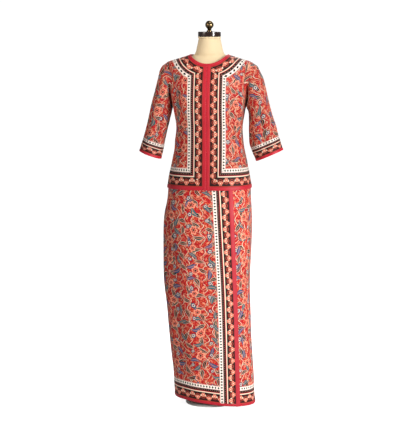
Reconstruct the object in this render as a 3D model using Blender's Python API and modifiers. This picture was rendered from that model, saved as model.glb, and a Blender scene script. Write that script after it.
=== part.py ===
"""A sarong kebaya, a fitted jacket over a wrapped long skirt, standing on a limbless dress form.

Metres, +Z up. The front faces -Y, the wearer's right is at -X and the base rests at z = 0.
"""

import math
from bisect import bisect_right
from collections import namedtuple

import bmesh
import bpy
from mathutils import Vector

COLLECTION = "sarong_kebaya"

# Cloth
CLOTH_WALL = 0.0015
BAND_WALL = 0.0010
SEAM_GAP = 0.0003

# Jacket, along its centre front, neckline and armholes
JACKET_HEM_Z = 0.8380
ARMPIT_Z = 1.1380
SHOULDER_TIP_Z = 1.3080
NECK_SIDE_Z = 1.3400
NECK_FRONT_Z = 1.3070
NECK_BACK_Z = 1.3270
NECK_CURVE = 2.2
RIDGE_SLOPE = 0.30
ARMHOLE_FRONT = 0.058
ARMHOLE_BACK = 0.054
NECK_BAND_WIDTH = 0.008
FRONT_BAND_WIDTH = 0.0125
JACKET_HEM_BAND_WIDTH = 0.0125
CUFF_BAND_WIDTH = 0.007

# Skirt
SKIRT_HEM_Z = 0.0200
SKIRT_HEM_SLOPE = -0.085
SKIRT_TOP_Z = 1.0407
WAISTBAND_TOP_Z = 1.0710
WAISTBAND_WALL = 0.0020
LAP_BAND_WIDTH = 0.0150
SKIRT_HEM_BAND_WIDTH = 0.0100
UNDER_CLEAR = math.radians(4)
UNDER_EASE = math.radians(28)

# Dress form
FORM_BOTTOM_Z = 0.6060
NECK_TOP_Z = 1.3993
NECK_CENTRE_Y = -0.008
RIM_RADIUS = 0.0430
RIM_TOP_Z = 1.4058
CAP_RADIUS = 0.0428
CAP_BOTTOM_Z = 1.4061
CAP_TOP_Z = 1.4242
FINIAL_TOP_Z = 1.4658
FINIAL_BALL_RADIUS = 0.0158
FINIAL_NECK_RADIUS = 0.0068
FINIAL_FOOT_RADIUS = 0.0110
FINIAL_FOOT_HEIGHT = 0.0030
POLE_RADIUS = 0.0125
POLE_FLANGE_RADIUS = 0.030
POLE_FLANGE_HEIGHT = 0.004
POLE_FLANGE_TAPER = 0.008
BASE_RADIUS = 0.092
BASE_THICKNESS = 0.012
BASE_HUB_RADIUS = 0.0205
BASE_HUB_HEIGHT = 0.022
SOFT_EDGE = 0.0015
TURNED_STEPS = 32
FINIAL_STEPS = 18

# How finely each surface is divided
PANEL_COLUMNS = 13
NECK_COLUMNS = 6
PANEL_LOWER_ROWS = 8
PANEL_UPPER_ROWS = 12
SLEEVE_COLUMNS = 24
SKIRT_ROWS = 13
OUTER_COLUMNS = 24
SHARED_COLUMNS = 9
UNDER_COLUMNS = 17
BACK_COLUMNS = 24
FORM_COLUMNS = 32
FORM_STEP = 0.03

# A level cross-section: half width across X, depths ahead of and behind the middle,
# how square its outline is (2 is an ellipse) and how far its middle stands from x = 0.
Ring = namedtuple("Ring", "z half_width front back square shift")
JACKET_RINGS = (
    Ring(0.8260, 0.1612, 0.1225, 0.1205, 2.5, 0.0),
    Ring(0.8460, 0.1590, 0.1215, 0.1190, 2.5, 0.0),
    Ring(0.8860, 0.1525, 0.1190, 0.1150, 2.5, 0.0),
    Ring(0.9460, 0.1408, 0.1140, 0.1045, 2.4, 0.0),
    Ring(1.0060, 0.1290, 0.1090, 0.0920, 2.4, 0.0),
    Ring(1.0610, 0.1249, 0.1080, 0.0860, 2.4, 0.0),
    Ring(1.1160, 0.1325, 0.1190, 0.0920, 2.4, 0.0),
    Ring(1.1380, 0.1360, 0.1210, 0.0960, 2.4, 0.0),
    Ring(1.1860, 0.1430, 0.1165, 0.0980, 2.4, 0.0),
    Ring(1.2360, 0.1500, 0.1060, 0.0950, 2.3, 0.0),
    Ring(1.2760, 0.1570, 0.0920, 0.0880, 2.2, 0.0),
    Ring(1.2960, 0.1625, 0.0830, 0.0820, 2.1, 0.0),
    Ring(1.3080, 0.1630, 0.0765, 0.0780, 2.0, 0.0),
    Ring(1.3140, 0.1530, 0.0735, 0.0755, 2.0, 0.0),
    Ring(1.3200, 0.1340, 0.0700, 0.0725, 2.0, 0.0),
    Ring(1.3270, 0.1100, 0.0650, 0.0690, 2.0, 0.0),
    Ring(1.3340, 0.0880, 0.0600, 0.0640, 2.0, 0.0),
    Ring(1.3400, 0.0695, 0.0560, 0.0590, 2.0, 0.0),
    Ring(1.3460, 0.0600, 0.0540, 0.0540, 2.0, 0.0),
)
SKIRT_RINGS = (
    Ring(0.0000, 0.1540, 0.1120, 0.1050, 2.3, 0.0240),
    Ring(0.0610, 0.1545, 0.1130, 0.1080, 2.3, 0.0190),
    Ring(0.1260, 0.1550, 0.1140, 0.1110, 2.3, 0.0155),
    Ring(0.2510, 0.1580, 0.1170, 0.1150, 2.3, 0.0040),
    Ring(0.3760, 0.1615, 0.1190, 0.1200, 2.3, -0.0040),
    Ring(0.5010, 0.1650, 0.1220, 0.1240, 2.4, -0.0110),
    Ring(0.6260, 0.1675, 0.1250, 0.1280, 2.4, -0.0085),
    Ring(0.6860, 0.1680, 0.1255, 0.1290, 2.4, -0.0075),
    Ring(0.7360, 0.1660, 0.1240, 0.1270, 2.5, -0.0055),
    Ring(0.7960, 0.1585, 0.1190, 0.1210, 2.5, -0.0015),
    Ring(0.8420, 0.1560, 0.1175, 0.1160, 2.5, 0.0),
    Ring(0.8860, 0.1485, 0.1140, 0.1100, 2.5, 0.0),
    Ring(0.9460, 0.1365, 0.1080, 0.0990, 2.4, 0.0),
    Ring(1.0060, 0.1255, 0.1008, 0.0880, 2.4, 0.0),
    Ring(1.0407, 0.1222, 0.0975, 0.0835, 2.4, 0.0),
    Ring(1.0710, 0.1224, 0.0950, 0.0830, 2.4, 0.0),
)
FORM_RINGS = (
    Ring(0.6060, 0.1300, 0.0900, 0.0980, 2.3, 0.0),
    Ring(0.6140, 0.1370, 0.0960, 0.1040, 2.3, 0.0),
    Ring(0.6660, 0.1450, 0.1020, 0.1110, 2.3, 0.0),
    Ring(0.7660, 0.1490, 0.1060, 0.1150, 2.4, 0.0),
    Ring(0.8420, 0.1460, 0.1060, 0.1080, 2.4, 0.0),
    Ring(0.8860, 0.1400, 0.1040, 0.1020, 2.4, 0.0),
    Ring(0.9460, 0.1290, 0.0990, 0.0920, 2.4, 0.0),
    Ring(1.0060, 0.1210, 0.0930, 0.0835, 2.4, 0.0),
    Ring(1.0410, 0.1199, 0.0926, 0.0808, 2.4, 0.0),
    Ring(1.0710, 0.1201, 0.0927, 0.0807, 2.4, 0.0),
    Ring(1.1160, 0.1270, 0.1100, 0.0860, 2.4, 0.0),
    Ring(1.1460, 0.1315, 0.1120, 0.0900, 2.4, 0.0),
    Ring(1.1860, 0.1370, 0.1080, 0.0915, 2.3, 0.0),
    Ring(1.2360, 0.1440, 0.0975, 0.0880, 2.2, 0.0),
    Ring(1.2760, 0.1520, 0.0835, 0.0805, 2.05, 0.0),
    Ring(1.2940, 0.1580, 0.0755, 0.0750, 1.95, 0.0),
    Ring(1.3048, 0.1570, 0.0670, 0.0690, 1.82, 0.0),
    Ring(1.3120, 0.1440, 0.0620, 0.0645, 1.72, 0.0),
    Ring(1.3180, 0.1245, 0.0570, 0.0600, 1.68, 0.0),
    Ring(1.3250, 0.1000, 0.0520, 0.0555, 1.68, 0.0),
    Ring(1.3320, 0.0770, 0.0480, 0.0505, 1.75, 0.0),
    Ring(1.3380, 0.0600, 0.0475, 0.0470, 1.90, 0.0),
    Ring(1.3440, 0.0530, 0.0500, 0.0450, 2.0, 0.0),
    Ring(1.3560, 0.0478, 0.0500, 0.0400, 2.0, 0.0),
    Ring(1.3710, 0.0445, 0.0495, 0.0360, 2.0, 0.0),
    Ring(1.3860, 0.0418, 0.0492, 0.0335, 2.0, 0.0),
    Ring(1.3993, 0.0412, 0.0492, 0.0332, 2.0, 0.0),
)

# A sleeve section, seen from the front: its outer and its inner edge, half its depth and its middle.
SleeveRow = namedtuple("SleeveRow", "outer_x outer_z inner_x inner_z depth middle_y")
RIGHT_SLEEVE = (
    SleeveRow(0.1780, 1.2980, 0.1405, 1.1370, 0.0580, 0.000),
    SleeveRow(0.1885, 1.2810, 0.1420, 1.1340, 0.0600, -0.001),
    SleeveRow(0.1960, 1.2505, 0.1435, 1.1280, 0.0610, -0.002),
    SleeveRow(0.2050, 1.2140, 0.1455, 1.1170, 0.0610, -0.004),
    SleeveRow(0.2150, 1.1760, 0.1490, 1.1020, 0.0600, -0.006),
    SleeveRow(0.2228, 1.1450, 0.1525, 1.0860, 0.0590, -0.008),
    SleeveRow(0.2320, 1.0990, 0.1580, 1.0630, 0.0575, -0.011),
    SleeveRow(0.2427, 1.0547, 0.1650, 1.0310, 0.0555, -0.014),
    SleeveRow(0.2505, 1.0244, 0.1705, 1.0020, 0.0535, -0.017),
    SleeveRow(0.2585, 1.0010, 0.1755, 0.9740, 0.0520, -0.019),
    SleeveRow(0.2655, 0.9765, 0.1835, 0.9460, 0.0505, -0.020),
)
LEFT_SLEEVE = (
    SleeveRow(0.1790, 1.2980, 0.1400, 1.1375, 0.0580, 0.000),
    SleeveRow(0.1885, 1.2810, 0.1425, 1.1350, 0.0600, -0.001),
    SleeveRow(0.2035, 1.2505, 0.1455, 1.1310, 0.0610, -0.002),
    SleeveRow(0.2115, 1.2210, 0.1478, 1.1230, 0.0610, -0.004),
    SleeveRow(0.2190, 1.1890, 0.1492, 1.1100, 0.0600, -0.006),
    SleeveRow(0.2290, 1.1490, 0.1498, 1.0880, 0.0590, -0.008),
    SleeveRow(0.2410, 1.1080, 0.1500, 1.0640, 0.0575, -0.011),
    SleeveRow(0.2540, 1.0710, 0.1508, 1.0340, 0.0560, -0.014),
    SleeveRow(0.2607, 1.0460, 0.1530, 1.0080, 0.0545, -0.017),
    SleeveRow(0.2690, 1.0210, 0.1620, 0.9805, 0.0530, -0.019),
    SleeveRow(0.2803, 0.9848, 0.1800, 0.9413, 0.0520, -0.020),
)

# A long soft ridge (+) or trough (-) in the cloth, from its top to its bottom. On the jacket and
# the skirt the places are heights; on a sleeve they are shares of its length from the shoulder.
Fold = namedtuple("Fold", "top top_degrees bottom bottom_degrees width height")
JACKET_FOLDS = (
    Fold(1.241, -58, 1.071, -40, 0.012, -0.0030),
    Fold(1.221, -47, 1.086, -33, 0.011, 0.0022),
    Fold(1.236, 57, 1.076, 41, 0.012, -0.0032),
    Fold(1.211, 48, 1.096, 35, 0.010, 0.0020),
    Fold(1.106, 82, 0.916, 64, 0.013, 0.0025),
    Fold(1.086, -84, 0.936, -66, 0.012, 0.0022),
    Fold(1.006, 52, 0.846, 57, 0.016, 0.0022),
    Fold(0.996, -50, 0.848, -58, 0.015, 0.0020),
    Fold(1.136, 150, 0.946, 168, 0.016, 0.0022),
    Fold(1.116, 208, 0.966, 194, 0.015, 0.0020),
    Fold(0.986, 140, 0.846, 134, 0.018, 0.0020),
    Fold(0.976, 218, 0.846, 226, 0.017, 0.0022),
)
SKIRT_FOLDS = (
    Fold(0.786, -64, 0.286, -58, 0.020, 0.0030),
    Fold(0.606, -48, 0.046, -44, 0.018, 0.0024),
    Fold(0.746, -86, 0.166, -78, 0.018, -0.0022),
    Fold(0.546, 70, 0.066, 66, 0.018, 0.0024),
    Fold(0.786, 100, 0.286, 108, 0.022, 0.0026),
    Fold(0.686, 150, 0.106, 156, 0.022, 0.0030),
    Fold(0.626, 196, 0.086, 202, 0.020, 0.0028),
    Fold(0.766, 246, 0.246, 238, 0.022, 0.0026),
)
RIGHT_SLEEVE_FOLDS = (
    Fold(0.10, 60, 0.95, 118, 0.010, -0.0036),
    Fold(0.20, 92, 0.90, 150, 0.010, 0.0030),
    Fold(0.16, 38, 0.70, 70, 0.008, 0.0026),
    Fold(0.25, 228, 0.85, 250, 0.012, 0.0030),
    Fold(0.15, 300, 0.70, 276, 0.011, -0.0030),
)
LEFT_SLEEVE_FOLDS = (
    Fold(0.08, 58, 0.85, 96, 0.010, -0.0032),
    Fold(0.30, 118, 0.98, 132, 0.011, -0.0040),
    Fold(0.15, 90, 0.92, 112, 0.009, 0.0030),
    Fold(0.22, 232, 0.88, 246, 0.012, 0.0030),
    Fold(0.12, 304, 0.66, 280, 0.011, -0.0030),
)

# Where the skirt's outer lap ends, across X, at a height
LapRow = namedtuple("LapRow", "z x")
LAP_EDGE = (
    LapRow(0.0000, 0.1290),
    LapRow(0.2860, 0.1205),
    LapRow(0.5660, 0.1110),
    LapRow(0.8420, 0.0985),
    LapRow(1.0407, 0.0800),
)

# Material: colour, roughness, metallic
MATERIALS = {
    "print_cloth": ((0.58, 0.05, 0.05, 1.0), 0.62, 0.0),
    "crimson_band": ((0.62, 0.02, 0.06, 1.0), 0.50, 0.0),
    "form_cover": ((0.80, 0.73, 0.55, 1.0), 0.75, 0.0),
    "cap_lacquer": ((0.05, 0.03, 0.02, 1.0), 0.20, 0.0),
    "finial_metal": ((0.42, 0.28, 0.12, 1.0), 0.30, 1.0),
    "pole_steel": ((0.55, 0.55, 0.56, 1.0), 0.30, 1.0),
    "base_paint": ((0.82, 0.81, 0.78, 1.0), 0.45, 0.0),
}


def clear_scene():
    for found in list(bpy.data.objects):
        bpy.data.objects.remove(found, do_unlink=True)


def make_collection():
    collection = bpy.data.collections.new(COLLECTION)
    bpy.context.scene.collection.children.link(collection)
    return collection


def make_material(name):
    colour, roughness, metallic = MATERIALS[name]
    material = bpy.data.materials.new(name)
    material.use_nodes = True
    shader = material.node_tree.nodes["Principled BSDF"]
    shader.inputs["Base Color"].default_value = colour
    shader.inputs["Roughness"].default_value = roughness
    shader.inputs["Metallic"].default_value = metallic
    return material


def smooth_value(stations, values, at):
    """A smooth curve through a table's values that never overshoots them."""
    if at <= stations[0]:
        return values[0]
    if at >= stations[-1]:
        return values[-1]

    def slope(k):
        return (values[k + 1] - values[k]) / (stations[k + 1] - stations[k])

    def tangent(k):
        if k == 0:
            return slope(0)
        if k == len(values) - 1:
            return slope(k - 1)
        before = slope(k - 1)
        after = slope(k)
        return 2 * before * after / (before + after) if before * after > 0 else 0.0

    k = bisect_right(stations, at) - 1
    span = stations[k + 1] - stations[k]
    t = (at - stations[k]) / span
    rise = t * t * (3 - 2 * t)
    return (
        values[k] * (1 - rise)
        + values[k + 1] * rise
        + span * tangent(k) * t * (1 - t) ** 2
        - span * tangent(k + 1) * t * t * (1 - t)
    )


def read_table(table, at):
    """The table's row at a station between its rows; the first column is the station."""
    columns = list(zip(*table))
    return type(table[0])(at, *(smooth_value(columns[0], column, at) for column in columns[1:]))


def fold_rise(folds, degrees, place, radius):
    """How far the folds move the cloth out at an angle and a place along it."""
    rise = 0.0
    for fold in folds:
        along = (place - fold.top) / (fold.bottom - fold.top)
        if not 0 < along < 1:
            continue
        middle = fold.top_degrees + (fold.bottom_degrees - fold.top_degrees) * along
        off = (degrees - middle + 180) % 360 - 180
        across = math.radians(off) * radius / fold.width
        rise += fold.height * math.sin(math.pi * along) * math.exp(-across * across)
    return rise


def tube_point(rings, folds, angle, z):
    """A point of a ringed surface: the angle runs from the front (-Y) towards +X."""
    ring = read_table(rings, z)
    side = math.sin(angle)
    ahead = math.cos(angle)
    depth = ring.front if ahead > 0 else ring.back
    power = ring.square
    reach = (abs(side / ring.half_width) ** power + abs(ahead / depth) ** power) ** (-1 / power)
    reach += fold_rise(folds, math.degrees(angle), z, reach)
    return Vector((ring.shift + reach * side, -reach * ahead, z))


def angle_at_x(rings, x, z, behind=False):
    """The angle at which a ringed surface stands at x, ahead of or behind its middle."""
    ring = read_table(rings, z)
    depth = ring.back if behind else ring.front
    share = min(abs((x - ring.shift) / ring.half_width), 1.0)
    y = depth * (1 - share ** ring.square) ** (1 / ring.square)
    return math.atan2(x - ring.shift, -y if behind else y)


def lifted(surface, turn, z, lift):
    """A surface's point moved out along its normal."""
    step = 1e-4
    point = surface(turn, z)
    across = surface(turn + step, z) - surface(turn - step, z)
    along = surface(turn, z + step) - surface(turn, z - step)
    return point + across.cross(along).normalized() * lift


def jacket(turn, z):
    return tube_point(JACKET_RINGS, JACKET_FOLDS, turn, z)


def skirt(turn, z):
    return tube_point(SKIRT_RINGS, SKIRT_FOLDS, turn, z)


def shares(steps):
    return [i / steps for i in range(steps + 1)]


def add_object(collection, name, mesh, material):
    piece = bpy.data.objects.new(name, mesh)
    collection.objects.link(piece)
    mesh.materials.append(material)
    return piece


def split_quad(corners):
    """Two triangles of a quad, cut along the diagonal that stands further out."""
    a, b, c, d = corners
    normal = (c.co - a.co).cross(d.co - b.co)
    if (a.co + c.co - b.co - d.co).dot(normal) > 0:
        return (a, b, c), (a, c, d)
    return (b, c, d), (b, d, a)


def add_sheet(shape, rows, closed=False, flip=False, skip=0):
    """Vertices and triangles through rows of points; a shorter row starts skip points along."""
    verts = [[shape.verts.new(point) for point in row] for row in rows]
    for lower, upper in zip(verts, verts[1:]):
        if len(upper) < len(lower):
            lower = lower[skip:skip + len(upper)]
        count = len(lower)
        for i in range(count if closed else count - 1):
            k = (i + 1) % count
            for face in split_quad((lower[i], lower[k], upper[k], upper[i])):
                shape.faces.new(face[::-1] if flip else face)
    return [vert for row in verts for vert in row]


def finish_mesh(shape, name):
    mesh = bpy.data.meshes.new(name)
    shape.to_mesh(mesh)
    shape.free()
    mesh.shade_smooth()
    mesh.set_sharp_from_angle(angle=math.radians(50))
    return mesh


def wall(collection, name, surface, rows, low, thickness, material, closed=False, skip=0):
    """A wall over a surface's places: its inner side is lifted by low, its outer side by more.

    A place is a turn and a height, or has its own extra lift as a third value. Both sides follow
    the surface's own normals, so that walls that meet at a seam stay parallel there.
    """
    shape = bmesh.new()
    sides = []
    for lift, flip in ((low, True), (low + thickness, False)):
        points = [
            [lifted(surface, place[0], place[1], lift + sum(place[2:])) for place in row]
            for row in rows
        ]
        sides.append(add_sheet(shape, points, closed, flip, skip))
    twin = dict(zip(sides[1], sides[0]))
    rim = [edge for edge in shape.edges if edge.is_boundary and edge.verts[0] in twin]
    for edge in rim:
        loop = edge.link_loops[0]
        first = loop.vert
        second = loop.link_loop_next.vert
        shape.faces.new((second, first, twin[first], twin[second]))
    return add_object(collection, name, finish_mesh(shape, name), material)


def band(collection, name, surface, rows, material):
    """A band made from the places of the panel that it lies on."""
    return wall(collection, name, surface, rows, SEAM_GAP, BAND_WALL, material)


def armhole_point(turn, inset=0.0):
    """The armhole in side view at a turn from the armpit (0) over the front to the tip (pi)."""
    half_height = (SHOULDER_TIP_Z - ARMPIT_Z) / 2 - inset
    half_depth = (ARMHOLE_FRONT if math.sin(turn) > 0 else ARMHOLE_BACK) - inset
    z = (SHOULDER_TIP_Z + ARMPIT_Z) / 2 - half_height * math.cos(turn)
    return -half_depth * math.sin(turn), z


def armhole_angle(y, z):
    """The jacket's angle on the +X side where its surface stands at y."""
    ring = read_table(JACKET_RINGS, z)
    depth = ring.front if y < 0 else ring.back
    x = ring.half_width * (1 - abs(y / depth) ** ring.square) ** (1 / ring.square)
    return math.atan2(x, -y)


def neck_place(share, behind, grow):
    """The neckline's angle and z from the middle (share 0) to the shoulder ridge (share 1)."""
    side_z = NECK_SIDE_Z - grow * RIDGE_SLOPE
    low = (NECK_BACK_Z if behind else NECK_FRONT_Z) - grow
    z = low + (side_z - low) * share ** NECK_CURVE
    if share == 1:
        return math.pi / 2, z
    side_x = read_table(JACKET_RINGS, side_z).half_width
    return angle_at_x(JACKET_RINGS, side_x * share, z, behind), z


def half_panel(side, behind):
    """Half a front or back of the jacket on one side, as rows of places from hem to neck.

    Turns are measured from the panel's own middle. Below the armpit the rows are level. Above
    it they turn from the armpit's level to the neck band's lower edge and the shoulder ridge.
    A last, shorter row is the neckline. The first column ends at the front band's edge, and
    the first row at the hem band's.
    """
    middle_gap = 0.0 if behind else SEAM_GAP / 2
    neck_share = NECK_COLUMNS / PANEL_COLUMNS

    def from_middle(angle):
        return math.pi - angle if behind else angle

    def seam_turn(z):
        return math.pi / 2 - SEAM_GAP / 2 / read_table(JACKET_RINGS, z).half_width

    def middle_turn(z):
        ring = read_table(JACKET_RINGS, z)
        return middle_gap / (ring.back if behind else ring.front)

    def limited(angle, z):
        return max(min(from_middle(angle), seam_turn(z)), middle_turn(z)), z

    def top(share):
        if share < neck_share:
            return limited(*neck_place(share / neck_share, behind, NECK_BAND_WIDTH))
        along = (share - neck_share) / (1 - neck_share)
        ridge_start = NECK_SIDE_Z - NECK_BAND_WIDTH * RIDGE_SLOPE
        z = ridge_start + (SHOULDER_TIP_Z - ridge_start) * along
        return seam_turn(z), z

    def armhole(share):
        y, z = armhole_point(math.pi * share * (-1 if behind else 1))
        return limited(armhole_angle(y, z), z)

    def middle(share):
        neck_z = (NECK_BACK_Z if behind else NECK_FRONT_Z) - NECK_BAND_WIDTH
        z = ARMPIT_Z + (neck_z - ARMPIT_Z) * share
        return middle_turn(z), z

    def base(share):
        start = middle_turn(ARMPIT_Z)
        return start + (seam_turn(ARMPIT_Z) - start) * share, ARMPIT_Z

    def between(u, v, k):
        edges = (1 - v) * base(u)[k] + v * top(u)[k] + (1 - u) * middle(v)[k] + u * armhole(v)[k]
        low = (1 - v) * ((1 - u) * base(0)[k] + u * base(1)[k])
        high = v * ((1 - u) * top(0)[k] + u * top(1)[k])
        return edges - low - high

    columns = shares(PANEL_COLUMNS)
    levels = [JACKET_HEM_Z, JACKET_HEM_Z + JACKET_HEM_BAND_WIDTH]
    rise = ARMPIT_Z - levels[-1]
    levels += [levels[1] + rise * share for share in shares(PANEL_LOWER_ROWS)[1:-1]]
    rows = []
    for z in levels:
        start = middle_turn(z)
        rows.append([(start + (seam_turn(z) - start) * u, z) for u in columns])
    for v in shares(PANEL_UPPER_ROWS):
        rows.append([(between(u, v, 0), between(u, v, 1)) for u in columns])
    rows.append([limited(*neck_place(share, behind, 0.0)) for share in shares(NECK_COLUMNS)])
    if not behind:
        for row in rows:
            z = row[1][1]
            row[1] = (angle_at_x(JACKET_RINGS, FRONT_BAND_WIDTH, z), z)
    return [[(side * from_middle(turn), z) for turn, z in row] for row in rows]


def whole_turn_on(row):
    return [(turn + math.tau, z) for turn, z in row]


def jacket_pieces(collection, cloth, trim):
    """Both fronts, the back and the bands on them. Every row runs towards greater turns."""
    left = half_panel(1, behind=False)
    right = [row[::-1] for row in half_panel(-1, behind=False)]
    back = [
        near[::-1] + whole_turn_on(far)[1:]
        for near, far in zip(half_panel(1, behind=True), half_panel(-1, behind=True))
    ]
    skip = PANEL_COLUMNS - NECK_COLUMNS
    for name, rows, start in (
        ("kebaya_front_left", left, 0),
        ("kebaya_front_right", right, skip),
        ("kebaya_back", back, skip),
    ):
        wall(collection, name, jacket, rows, -CLOTH_WALL, CLOTH_WALL, cloth, skip=start)

    hem_rows = []
    gap = 2 * SEAM_GAP / JACKET_RINGS[0].front
    for k in (0, 1):
        row = left[k][1:] + back[k][1:] + whole_turn_on(right[k])[1:-1]
        row[0] = (row[0][0] + gap, row[0][1])
        row[-1] = (row[-1][0] - gap, row[-1][1])
        hem_rows.append(row)
    band(collection, "kebaya_hem_band", jacket, hem_rows, trim)

    lower = left[-2][:NECK_COLUMNS + 1] + back[-2][skip + 1:-skip]
    lower += whole_turn_on(right[-2][skip:])[1:]
    upper = left[-1] + back[-1][1:] + whole_turn_on(right[-1])[1:]
    band(collection, "neck_band", jacket, [lower, upper], trim)

    for name, rows, pair in (("left", left, slice(0, 2)), ("right", right, slice(-2, None))):
        edge_rows = [row[pair] for row in rows[:-1]]
        edge_rows[-1] = [(turn, z - 2 * SEAM_GAP) for turn, z in edge_rows[-1]]
        band(collection, f"front_band_{name}", jacket, edge_rows, trim)


def sleeve_rows(side, table, folds):
    """Closed sections of a sleeve from its armhole seam to its cuff.

    A section runs from the armpit side (turn 0) over the front to the outer edge (pi). The first
    is the armhole seam itself, and the next ones ease from it into plain ovals.
    """
    turns = [math.tau * i / SLEEVE_COLUMNS for i in range(SLEEVE_COLUMNS)]

    def armhole_seam(turn):
        y, z = armhole_point(turn, SEAM_GAP)
        seam = jacket(armhole_angle(y, z), z)
        return Vector((abs(seam.x), seam.y, seam.z))

    def oval(row, turn, rise):
        outer = Vector((row.outer_x, row.middle_y, row.outer_z))
        inner = Vector((row.inner_x, row.middle_y, row.inner_z))
        middle = (outer + inner) / 2
        half = (outer - inner) / 2
        across = half * (1 + rise / half.length) * -math.cos(turn)
        return middle + across + Vector((0, -(row.depth + rise) * math.sin(turn), 0))

    seam = [armhole_seam(turn) for turn in turns]
    start = SleeveRow(seam[len(turns) // 2].x, SHOULDER_TIP_Z, seam[0].x, ARMPIT_Z, ARMHOLE_FRONT, 0)
    rows = [seam]
    for k, row in enumerate(table, start=1):
        ease = max(0.0, 1 - k / 4) ** 1.5
        place = k / len(table)
        section = []
        for i, turn in enumerate(turns):
            rise = fold_rise(folds, math.degrees(turn), place, row.depth)
            section.append(oval(row, turn, rise) + ease * (seam[i] - oval(start, turn, 0.0)))
        rows.append(section)
    return [[Vector((side * point.x, point.y, point.z)) for point in row] for row in rows]


def open_sheet(collection, name, rows, flip, thickness, outward, material):
    """A closed tube of rows of points, open at both ends, given its wall."""
    shape = bmesh.new()
    add_sheet(shape, rows, closed=True, flip=flip)
    piece = add_object(collection, name, finish_mesh(shape, name), material)
    solid = piece.modifiers.new("wall", "SOLIDIFY")
    solid.thickness = thickness
    solid.offset = 1.0 if outward else -1.0
    return piece


def sleeve(collection, name, side, table, folds, material):
    rows = sleeve_rows(side, table, folds)
    open_sheet(collection, name, rows, side > 0, CLOTH_WALL, False, material)


def cuff_band(collection, name, side, table, folds, material):
    """A band round the last stretch of a sleeve, made from the sleeve's points moved out."""
    above, edge = sleeve_rows(side, table, folds)[-2:]
    share = CUFF_BAND_WIDTH / (table[-2].outer_z - table[-1].outer_z)
    rows = []
    for part in (share, 0.0):
        row = [low.lerp(high, part) for low, high in zip(edge, above)]
        middle = sum(row, Vector()) / len(row)
        rows.append([point + (point - middle).normalized() * SEAM_GAP for point in row])
    open_sheet(collection, name, rows, side > 0, BAND_WALL, True, material)


def skirt_hem_z(turn):
    foot = read_table(SKIRT_RINGS, SKIRT_HEM_Z)
    return SKIRT_HEM_Z + SKIRT_HEM_SLOPE * (foot.shift + foot.half_width * math.sin(turn))


def seam_turn(quarter, side, z):
    """A side seam's turn at a height, half a gap to one side of it."""
    return quarter + side * SEAM_GAP / 2 / read_table(SKIRT_RINGS, z).half_width


def skirt_rows(turn_at, count, inset=None):
    """Rows of places from the hem up; the first row of quads is as high as the hem band."""
    rows = []
    for j in range(SKIRT_ROWS + 1):
        row = []
        for i in range(count):
            low = skirt_hem_z(turn_at(i, SKIRT_HEM_Z))
            above = low + SKIRT_HEM_BAND_WIDTH
            z = above + (SKIRT_TOP_Z - above) * (j - 1) / (SKIRT_ROWS - 1) if j else low
            turn = turn_at(i, z)
            row.append((turn, z, -inset(turn, z) if inset else 0.0))
        rows.append(row)
    return rows


def skirt_pieces(collection, cloth, trim):
    quarter = math.pi / 2

    def lap_turn(z, back=0.0):
        return angle_at_x(SKIRT_RINGS, read_table(LAP_EDGE, z).x - back, z)

    def outer_turn(i, z):
        if i == OUTER_COLUMNS:
            return lap_turn(z)
        start = seam_turn(-quarter, 1, z)
        return start + (lap_turn(z, LAP_BAND_WIDTH) - start) * i / (OUTER_COLUMNS - 1)

    def under_turn(i, z):
        if i <= SHARED_COLUMNS:
            return outer_turn(OUTER_COLUMNS - SHARED_COLUMNS + i, z)
        start = lap_turn(z)
        along = (i - SHARED_COLUMNS) / (UNDER_COLUMNS - SHARED_COLUMNS)
        return start + (seam_turn(quarter, -1, z) - start) * along

    def back_turn(i, z):
        start = seam_turn(quarter, 1, z)
        return start + (seam_turn(math.tau - quarter, -1, z) - start) * i / BACK_COLUMNS

    def under_inset(turn, z):
        """One layer in beneath the outer lap, coming out beyond its edge."""
        past = min(max((turn - lap_turn(z) - UNDER_CLEAR) / UNDER_EASE, 0.0), 1.0)
        return (CLOTH_WALL + 2 * SEAM_GAP) * (1 - past * past * (3 - 2 * past))

    outer = skirt_rows(outer_turn, OUTER_COLUMNS + 1)
    under = skirt_rows(under_turn, UNDER_COLUMNS + 1, under_inset)
    back = skirt_rows(back_turn, BACK_COLUMNS + 1)
    for name, rows in (
        ("sarong_outer_lap", outer), ("sarong_under_lap", under), ("sarong_back", back)
    ):
        wall(collection, name, skirt, rows, -CLOTH_WALL, CLOTH_WALL, cloth)

    gap = 2 * SEAM_GAP / SKIRT_RINGS[0].half_width
    outer_foot = [row[:OUTER_COLUMNS] for row in outer[:2]]
    under_foot = [row[SHARED_COLUMNS:] for row in under[:2]]
    for row in outer_foot:
        row[-1] = (row[-1][0] - gap, *row[-1][1:])
    for row in under_foot:
        row[0] = (row[0][0] + 2 * gap, *row[0][1:])
    band(collection, "sarong_hem_band_outer", skirt, outer_foot, trim)
    band(collection, "sarong_hem_band_under", skirt, under_foot, trim)
    band(collection, "sarong_hem_band_back", skirt, back[:2], trim)
    band(collection, "sarong_lap_band", skirt, [row[-2:] for row in outer], trim)

    turns = [math.tau * share for share in shares(FORM_COLUMNS)[:-1]]
    rows = [[(turn, z) for turn in turns] for z in (SKIRT_TOP_Z + SEAM_GAP, WAISTBAND_TOP_Z)]
    wall(
        collection, "sarong_waistband", skirt, rows, -WAISTBAND_WALL, WAISTBAND_WALL, cloth,
        closed=True,
    )


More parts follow.
